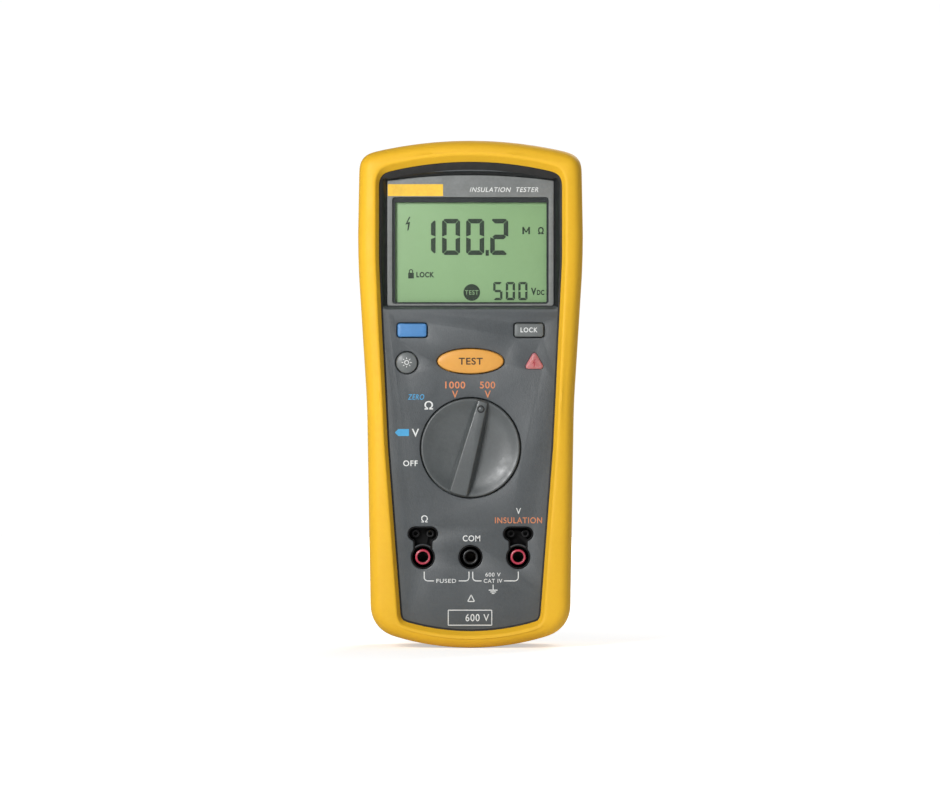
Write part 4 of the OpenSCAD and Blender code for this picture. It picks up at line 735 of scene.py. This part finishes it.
for side, material, slot in (("left", post_red, "red_plastic"),
                             ("middle", post_black, "black_plastic"),
                             ("right", post_red, "red_plastic")):
    node = "jack_post_" + side
    low, high = (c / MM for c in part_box(node))
    sleeve_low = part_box("jack_sleeve_" + side)[0] / MM
    inner = (high.x + low.x) / 2 - sleeve_low.x
    outer = (high.x - low.x) / 2
    profile = [(inner, high.y), (outer, high.y), (outer, low.y + 0.5), (outer - 0.15, low.y + 0.15),
               (outer - 0.45, low.y), (post_bore + 0.35, low.y),
               (post_bore + 0.1, low.y + 0.1), (post_bore, low.y + 0.4),
               (post_bore, sleeve_low.y), (inner, sleeve_low.y),
               (inner, high.y)]
    piece("post_" + side, turned(profile, (low.x + high.x) / 2, (low.z + high.z) / 2, 64),
          material, "tester", slot, node)

# The arc over each outer well is grey as a painted highlight on the black collar's top edge.
ridge_painted_highlight = finish("ridge_painted_highlight", colour(58, 61, 63), 0.4, grain=0.4, depth=0.005, worn=0.3)
jack_pitch, jack_z = 19.05, 36.4
ridge_r, ridge_thick, ridge_sunk, ridge_half = 4.95, 0.3, 0.75, radians(38)
for side in (-1, 1):
    bm = bmesh.new()
    centre = Vector((side * jack_pitch, 0, jack_z)) * MM
    turn = Matrix.Translation(centre) @ Matrix.Rotation(-ridge_half, 4, "Y")
    place = turn @ Matrix.Translation(Vector((0, FACE_Y + ridge_sunk, ridge_r)) * MM)
    bmesh.ops.create_circle(bm, cap_ends=True, segments=12, radius=ridge_thick * MM,
                            matrix=place @ Matrix.Rotation(pi / 2, 4, "Y"))
    bmesh.ops.spin(bm, geom=bm.faces[:] + bm.edges[:] + bm.verts[:], cent=centre, axis=(0, 1, 0),
                   angle=2 * ridge_half, steps=20)
    bmesh.ops.recalc_face_normals(bm, faces=bm.faces)
    piece("well_ridge_" + ("left" if side < 0 else "right"), bm, ridge_painted_highlight, "tester",
          "grey_plastic")
# The sleeves' plating is darkened: painted shade deep in each bore.
sleeve_painted_shade = finish("sleeve_painted_shade", colour(66, 62, 58), 0.5, grain=0.3, depth=0.004, cloud=4,
                     shift=0.08, worn=0, Metallic=1.0)
dress(sleeve_painted_shade, "jack_sleeve_left", "jack_sleeve_middle", "jack_sleeve_right")
tube_black = finish("tube_black", colour(20, 20, 21), 0.4, grain=0.4, depth=0.004, worn=0.5)
for side in ("left", "right"):
    bm = merged("probe_sockets_" + side)
    break_edges(bm, tube_break)
    piece("probe_tubes_" + side, bm, tube_black, "tester", "black_plastic",
          "probe_sockets_" + side)


# ---- Printed legends ----
# Settings and units, screen printed on the face in white, orange and blue. Lines
# join each outer jack to the common one.

white, orange, blue = bmesh.new(), bmesh.new(), bmesh.new()
for ink, words, x, z, height, width, bold in (
        (orange, "1000", -6.1, 105.2, 2.8, 8, 0.015), (orange, "500", 6.8, 105.2, 2.8, 6.1, 0.015),
        (orange, "V", -6.2, 101.5, 2.9, 2.4, 0.01), (orange, "V", 6.9, 101.5, 2.9, 2.4, 0.01),
        (orange, "INSULATION", 19.2, 51.1, 2.4, 18.8, 0.01),
        (white, "Ω", -16.7, 97.1, 3.4, 3.4, 0.015), (white, "V", -22.0, 86.1, 3.2, 2.9, 0.015),
        (white, "OFF", -24.0, 73.9, 2.3, 5.8, 0.015), (white, "Ω", -18.4, 51.7, 2.8, 2.6, 0.005),
        (white, "V", 19.2, 54.8, 2.4, 2.0, 0.007), (white, "COM", 0.4, 43.9, 2.4, 7.0, 0.013),
        (white, "FUSED", -9.7, 26.9, 1.6, 7.9, 0.01), (white, "600 V", 9.0, 29.4, 1.6, 6.1, 0.01),
        (white, "CAT IV", 9.0, 26.9, 1.6, 7.4, 0.01), (white, "600 V", 2.7, 12.2, 2.9, 9.4, 0.003)):
    lettering(ink, words, x, z, height, width, FACE_Y, bold)
lettering(blue, "ZERO", -21.8, 100.4, 2.2, 6.6, FACE_Y, 0.01, 0.2)


def lead_line(x_jack, x_end):
    """A line that drops from a jack, rounds a corner and runs towards its word."""
    r, top, foot, width = 1.4, 30.6, 26.9, 0.38
    side = 1 if x_end > x_jack else -1
    bend = [(x_jack + side * r * (1 - cos(a)), foot + r * (1 - sin(a))) for a in quarter()]
    path = [(x_jack, top)] + bend + [(x_end, foot)]
    return [bar(*start, *end, width) for start, end in zip(path, path[1:])]


marks = (lead_line(-18.5, -14.6) + lead_line(-0.6, -4.7) + lead_line(0.9, 4.4)
         + lead_line(19.1, 13.4))
marks += [bar(9.05, 25.4, 9.05, 23.3, 0.35), bar(7.3, 23.2, 10.8, 23.2, 0.38),
          bar(7.9, 22.5, 10.2, 22.5, 0.36), bar(8.5, 21.9, 9.6, 21.9, 0.34)]
sign_x, sign_z, sign_wide, sign_tall = 0.25, 19.55, 1.55, 1.75
corners = [(sign_x + sign_wide * cos(radians(a)), sign_z + sign_tall * sin(radians(a)))
           for a in (90, 210, 330)]
marks += [bar(*corners[i - 1], *corners[i], 0.4) for i in range(3)]
frame_line = oblong(-8.9, 9.2, 8.5, 15.2)
marks += [bar(*frame_line[i - 1], *frame_line[i], 0.36) for i in range(4)]
piece("legend_white", joined(white, stamped(marks, FACE_Y)), print_white, "tester",
      "white_plastic")
print_orange = finish("print_orange", colour(208, 130, 86), 0.5, grain=0.2, depth=0.004, worn=0)
print_blue = finish("print_blue", colour(70, 156, 204), 0.5, grain=0.2, depth=0.004, worn=0)
tag = [(-30.2, 86.2), (-28.9, 87.6), (-24.6, 87.6), (-24.6, 84.8), (-28.9, 84.8)]
piece("legend_orange", orange, print_orange, "tester", "orange_plastic")
piece("legend_blue", joined(blue, stamped([tag], FACE_Y)), print_blue, "tester", "blue_plastic")


# ---- Boards and their components ----
# Two fibreglass boards with green solder mask. They carry the controller, the high
# voltage transformer and capacitors, three relays, a buzzer and the glass fuse.

mask_green = finish("mask_green", colour(26, 92, 58), 0.35, grain=0.5, depth=0.02, cloud=2.2,
                    shift=0.25, worn=0.2, stretch=(1, 1, 6), Coat_Weight=0.3)
epoxy_black = finish("epoxy_black", colour(28, 29, 30), 0.5, grain=0.3, depth=0.02)
tape_yellow = finish("tape_yellow", colour(222, 186, 74), 0.4, grain=0.8, depth=0.05,
                     stretch=(1, 1, 5), shift=0.08)
sleeve_blue = finish("sleeve_blue", colour(34, 62, 128), 0.3, grain=0.8, depth=0.01,
                     Coat_Weight=0.3)
relay_white = finish("relay_white", colour(224, 224, 216), 0.4, grain=0.6, depth=0.01)
fish_paper = finish("fish_paper", colour(196, 182, 140), 0.7, grain=0.3, depth=0.04, worn=0.1,
                    stretch=(1, 1, 3))
for node, name, material, slot, radius in (
        ("main_board", "main_circuit", mask_green, "board_green", 0.1),
        ("input_board", "input_circuit", mask_green, "board_green", 0.1),
        ("microcontroller", "controller_chip", epoxy_black, "black_plastic", 0.15),
        ("board_connector", "board_header", epoxy_black, "black_plastic", 0.3),
        ("transformer", "transformer_wound", tape_yellow, "tape_yellow", 0.5),
        ("capacitors", "capacitor_cans", sleeve_blue, "cap_blue", 0.8),
        ("relays", "relay_cans", relay_white, "white_plastic", 0.6),
        ("buzzer", "buzzer_can", epoxy_black, "black_plastic", 0.3)):
    bm = merged(node)
    break_edges(bm, radius)
    piece(name, bm, material, "tester", slot, node)
dress(steel, "board_screws", "fuse")
dress(brass, "fuse_clips")
dress(fish_paper, "insulating_sheet")


# ---- Batteries ----
# Four AA cells lie head to tail in the tray, each in a printed sleeve, between wound
# steel springs and plated contacts.

wrap_grey = finish("wrap_grey", colour(58, 66, 74), 0.3, grain=0.8, depth=0.004, cloud=12,
                   shift=0.06, worn=0.2, Coat_Weight=0.4)
wrap_band = finish("wrap_band", colour(206, 150, 62), 0.3, grain=0.8, depth=0.004, cloud=12,
                   shift=0.06, worn=0.1, Coat_Weight=0.4)
bm = merged("batteries")
low, high = (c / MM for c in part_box("batteries"))
cell_d, band_from, cell_break = 14.5, 36, 0.6
for height in (low.z + band_from, high.z - band_from):
    bmesh.ops.bisect_plane(bm, geom=bm.verts[:] + bm.edges[:] + bm.faces[:],
                           plane_co=(0, 0, height * MM), plane_no=(0, 0, 1))
break_edges(bm, cell_break)
pitch = (high.x - low.x - cell_d) / 3
for face in bm.faces:
    middle = face.calc_center_median() / MM
    cell = round((middle.x - low.x - cell_d / 2) / pitch)
    heads_up = cell % 2 == 0
    banded = middle.z > low.z + band_from if heads_up else middle.z < high.z - band_from
    face.material_index = 2 if abs(face.normal.z) > 0.9 else int(banded)
piece("cells", bm, [wrap_grey, wrap_band, steel], "tester", "cell_wrap", "batteries")

coils = []
wire_r, coil_r, coil_h, coil_end, taper = 0.32, 4.1, 4.2, 0.8, 0.42
coil_low, coil_high = (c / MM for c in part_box("battery_springs"))
for i in range(4):
    up = i % 2 == 0
    x = low.x + cell_d / 2 + i * pitch
    y = (low.y + high.y) / 2
    foot = coil_low.z if up else coil_high.z
    lean = 1 if up else -1
    coil = bmesh.new()
    place = Matrix.Translation(Vector((x + coil_r, y, foot + lean * (wire_r + 0.03))) * MM)
    bmesh.ops.create_circle(coil, cap_ends=False, segments=8, radius=wire_r * MM,
                            matrix=place @ Matrix.Rotation(pi / 2, 4, "X"))
    turns, steps = 4, 24
    rise = (coil_h - coil_end) / (turns * steps) * lean
    bmesh.ops.spin(coil, geom=coil.verts[:] + coil.edges[:], cent=Vector((x, y, 0)) * MM,
                   axis=(0, 0, 1), dvec=(0, 0, rise * MM), angle=2 * pi * turns,
                   steps=turns * steps)
    for vert in coil.verts:
        share = abs(vert.co.z / MM - foot) / coil_h
        for axis, middle in ((0, x), (1, y)):
            vert.co[axis] = (middle + (vert.co[axis] / MM - middle) * (1 - taper * share)) * MM
    bmesh.ops.recalc_face_normals(coil, faces=coil.faces)
    coils.append(coil)
piece("cell_springs", joined(*coils), steel, "tester", "steel", "battery_springs", crease=60)
dress(steel, "battery_contacts")


# ---- Battery door ----
# The door is a flat moulding with grip grooves. Two quarter-turn locks with a slot for
# a coin or a screwdriver hold it, and a foam cord seals it.

DOOR_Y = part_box("battery_door")[1][1] / MM
door_break, lock_break, lock_deep = 0.2, 0.18, 1.3
bm = merged("battery_door")
break_edges(bm, door_break, lambda at: at.y > DOOR_Y - FACE_SKIN)
piece("door_panel", bm, case_grey, "door", "grey_plastic", "battery_door")
lock_metal = finish("lock_metal", colour(150, 152, 154), 0.35, grain=0.3, depth=0.006, cloud=3,
                    shift=0.08, worn=0.2, Metallic=1.0)
for node, body in (("door_lock_top", "lock_top"), ("door_lock_foot", "lock_foot")):
    bm = merged(node)
    break_edges(bm, lock_break, lambda at: at.y > DOOR_Y - lock_deep)
    piece(node + "_turned", bm, lock_metal, body, "steel", node)
dress(foam, "door_gasket")


# ---- Tilt stand ----
# A folding bail of the case's grey plastic, with two sunken panels and a notch for a
# fingertip. It turns on a steel pin between the lugs of the back shell.

stand_break, below_hinge = 0.3, 172
bm = merged("tilt_stand")
break_edges(bm, stand_break, lambda at: at.z < below_hinge)
piece("stand_bail", bm, case_grey, "stand", "grey_plastic", "tilt_stand")
dress(steel, "stand_pin")


# ---- Floor, lights and camera ----
# A white table, a large soft light high on the left, a weaker one on the right, and a
# long lens that looks straight at the face.

floor_bm = bmesh.new()
bmesh.ops.create_grid(floor_bm, x_segments=8, y_segments=8, size=1.6)
floor_mesh = bpy.data.meshes.new("table_top")
floor_bm.to_mesh(floor_mesh)
floor_bm.free()
table_white = finish("table_white", (0.9, 0.9, 0.9, 1), 0.8, grain=3, depth=0.02, cloud=200,
                     shift=0.01, worn=0, Emission_Color=(1, 1, 1, 1))
nodes, links = table_white.node_tree.nodes, table_white.node_tree.links
away = nodes.new("ShaderNodeVectorMath")
away.operation = "LENGTH"
links.new(nodes.new("ShaderNodeTexCoord").outputs["Object"], away.inputs[0])
glow = nodes.new("ShaderNodeMapRange")
glow_ramp = {"From Min": 0.12, "From Max": 0.6, "To Min": 0.5, "To Max": 1.0}
for socket, number in glow_ramp.items():
    glow.inputs[socket].default_value = number
links.new(away.outputs["Value"], glow.inputs["Value"])
seen = nodes.new("ShaderNodeMath")
seen.operation = "MULTIPLY"
links.new(glow.outputs["Result"], seen.inputs[0])
links.new(nodes.new("ShaderNodeLightPath").outputs["Is Camera Ray"], seen.inputs[1])
links.new(seen.outputs["Value"], nodes["Principled BSDF"].inputs["Emission Strength"])
floor_mesh.materials.append(table_white)
table_top = bpy.data.objects.new("table_top", floor_mesh)
bpy.context.scene.collection.objects.link(table_top)


def softbox(name, place, aim, size, power):
    lamp = bpy.data.lights.new(name, "AREA")
    lamp.shape = "SQUARE"
    lamp.size = size
    lamp.energy = power
    holder = bpy.data.objects.new(name, lamp)
    holder.location = place
    holder.rotation_euler = (Vector(aim) - Vector(place)).to_track_quat("-Z", "Y").to_euler()
    bpy.context.scene.collection.objects.link(holder)


softbox("key_light", (-0.36, -0.66, 0.34), (0, 0, 0.1), 0.26, 4.6)
softbox("fill_light", (0.95, -1.1, 0.3), (0, 0, 0.1), 0.8, 1.1)
softbox("back_light", (0.5, 1.2, 0.9), (0, 0, 0.1), 0.8, 12)

world = bpy.data.worlds.new("studio")
world.use_nodes = True
nodes, links = world.node_tree.nodes, world.node_tree.links
backdrop = nodes["Background"]
backdrop.inputs["Color"].default_value = (1, 1, 1, 1)
seen = nodes.new("ShaderNodeMapRange")
links.new(nodes.new("ShaderNodeLightPath").outputs["Is Camera Ray"], seen.inputs["Value"])
seen.inputs["To Min"].default_value = 0.18
seen.inputs["To Max"].default_value = 1.02
links.new(seen.outputs["Result"], backdrop.inputs["Strength"])
bpy.context.scene.world = world
bpy.context.scene.view_settings.view_transform = "Standard"

camera_data = bpy.data.cameras.new("camera")
camera_data.lens = 200
camera_data.sensor_width = 36
camera = bpy.data.objects.new("camera", camera_data)
view_width, view_x, view_y, view_z = 0.376, -0.0002, -0.02, 0.1016
distance = view_width * camera_data.lens / camera_data.sensor_width
camera.location = (view_x, view_y - distance, view_z)
camera.rotation_euler = (pi / 2, 0, 0)
bpy.context.scene.collection.objects.link(camera)
bpy.context.scene.camera = camera
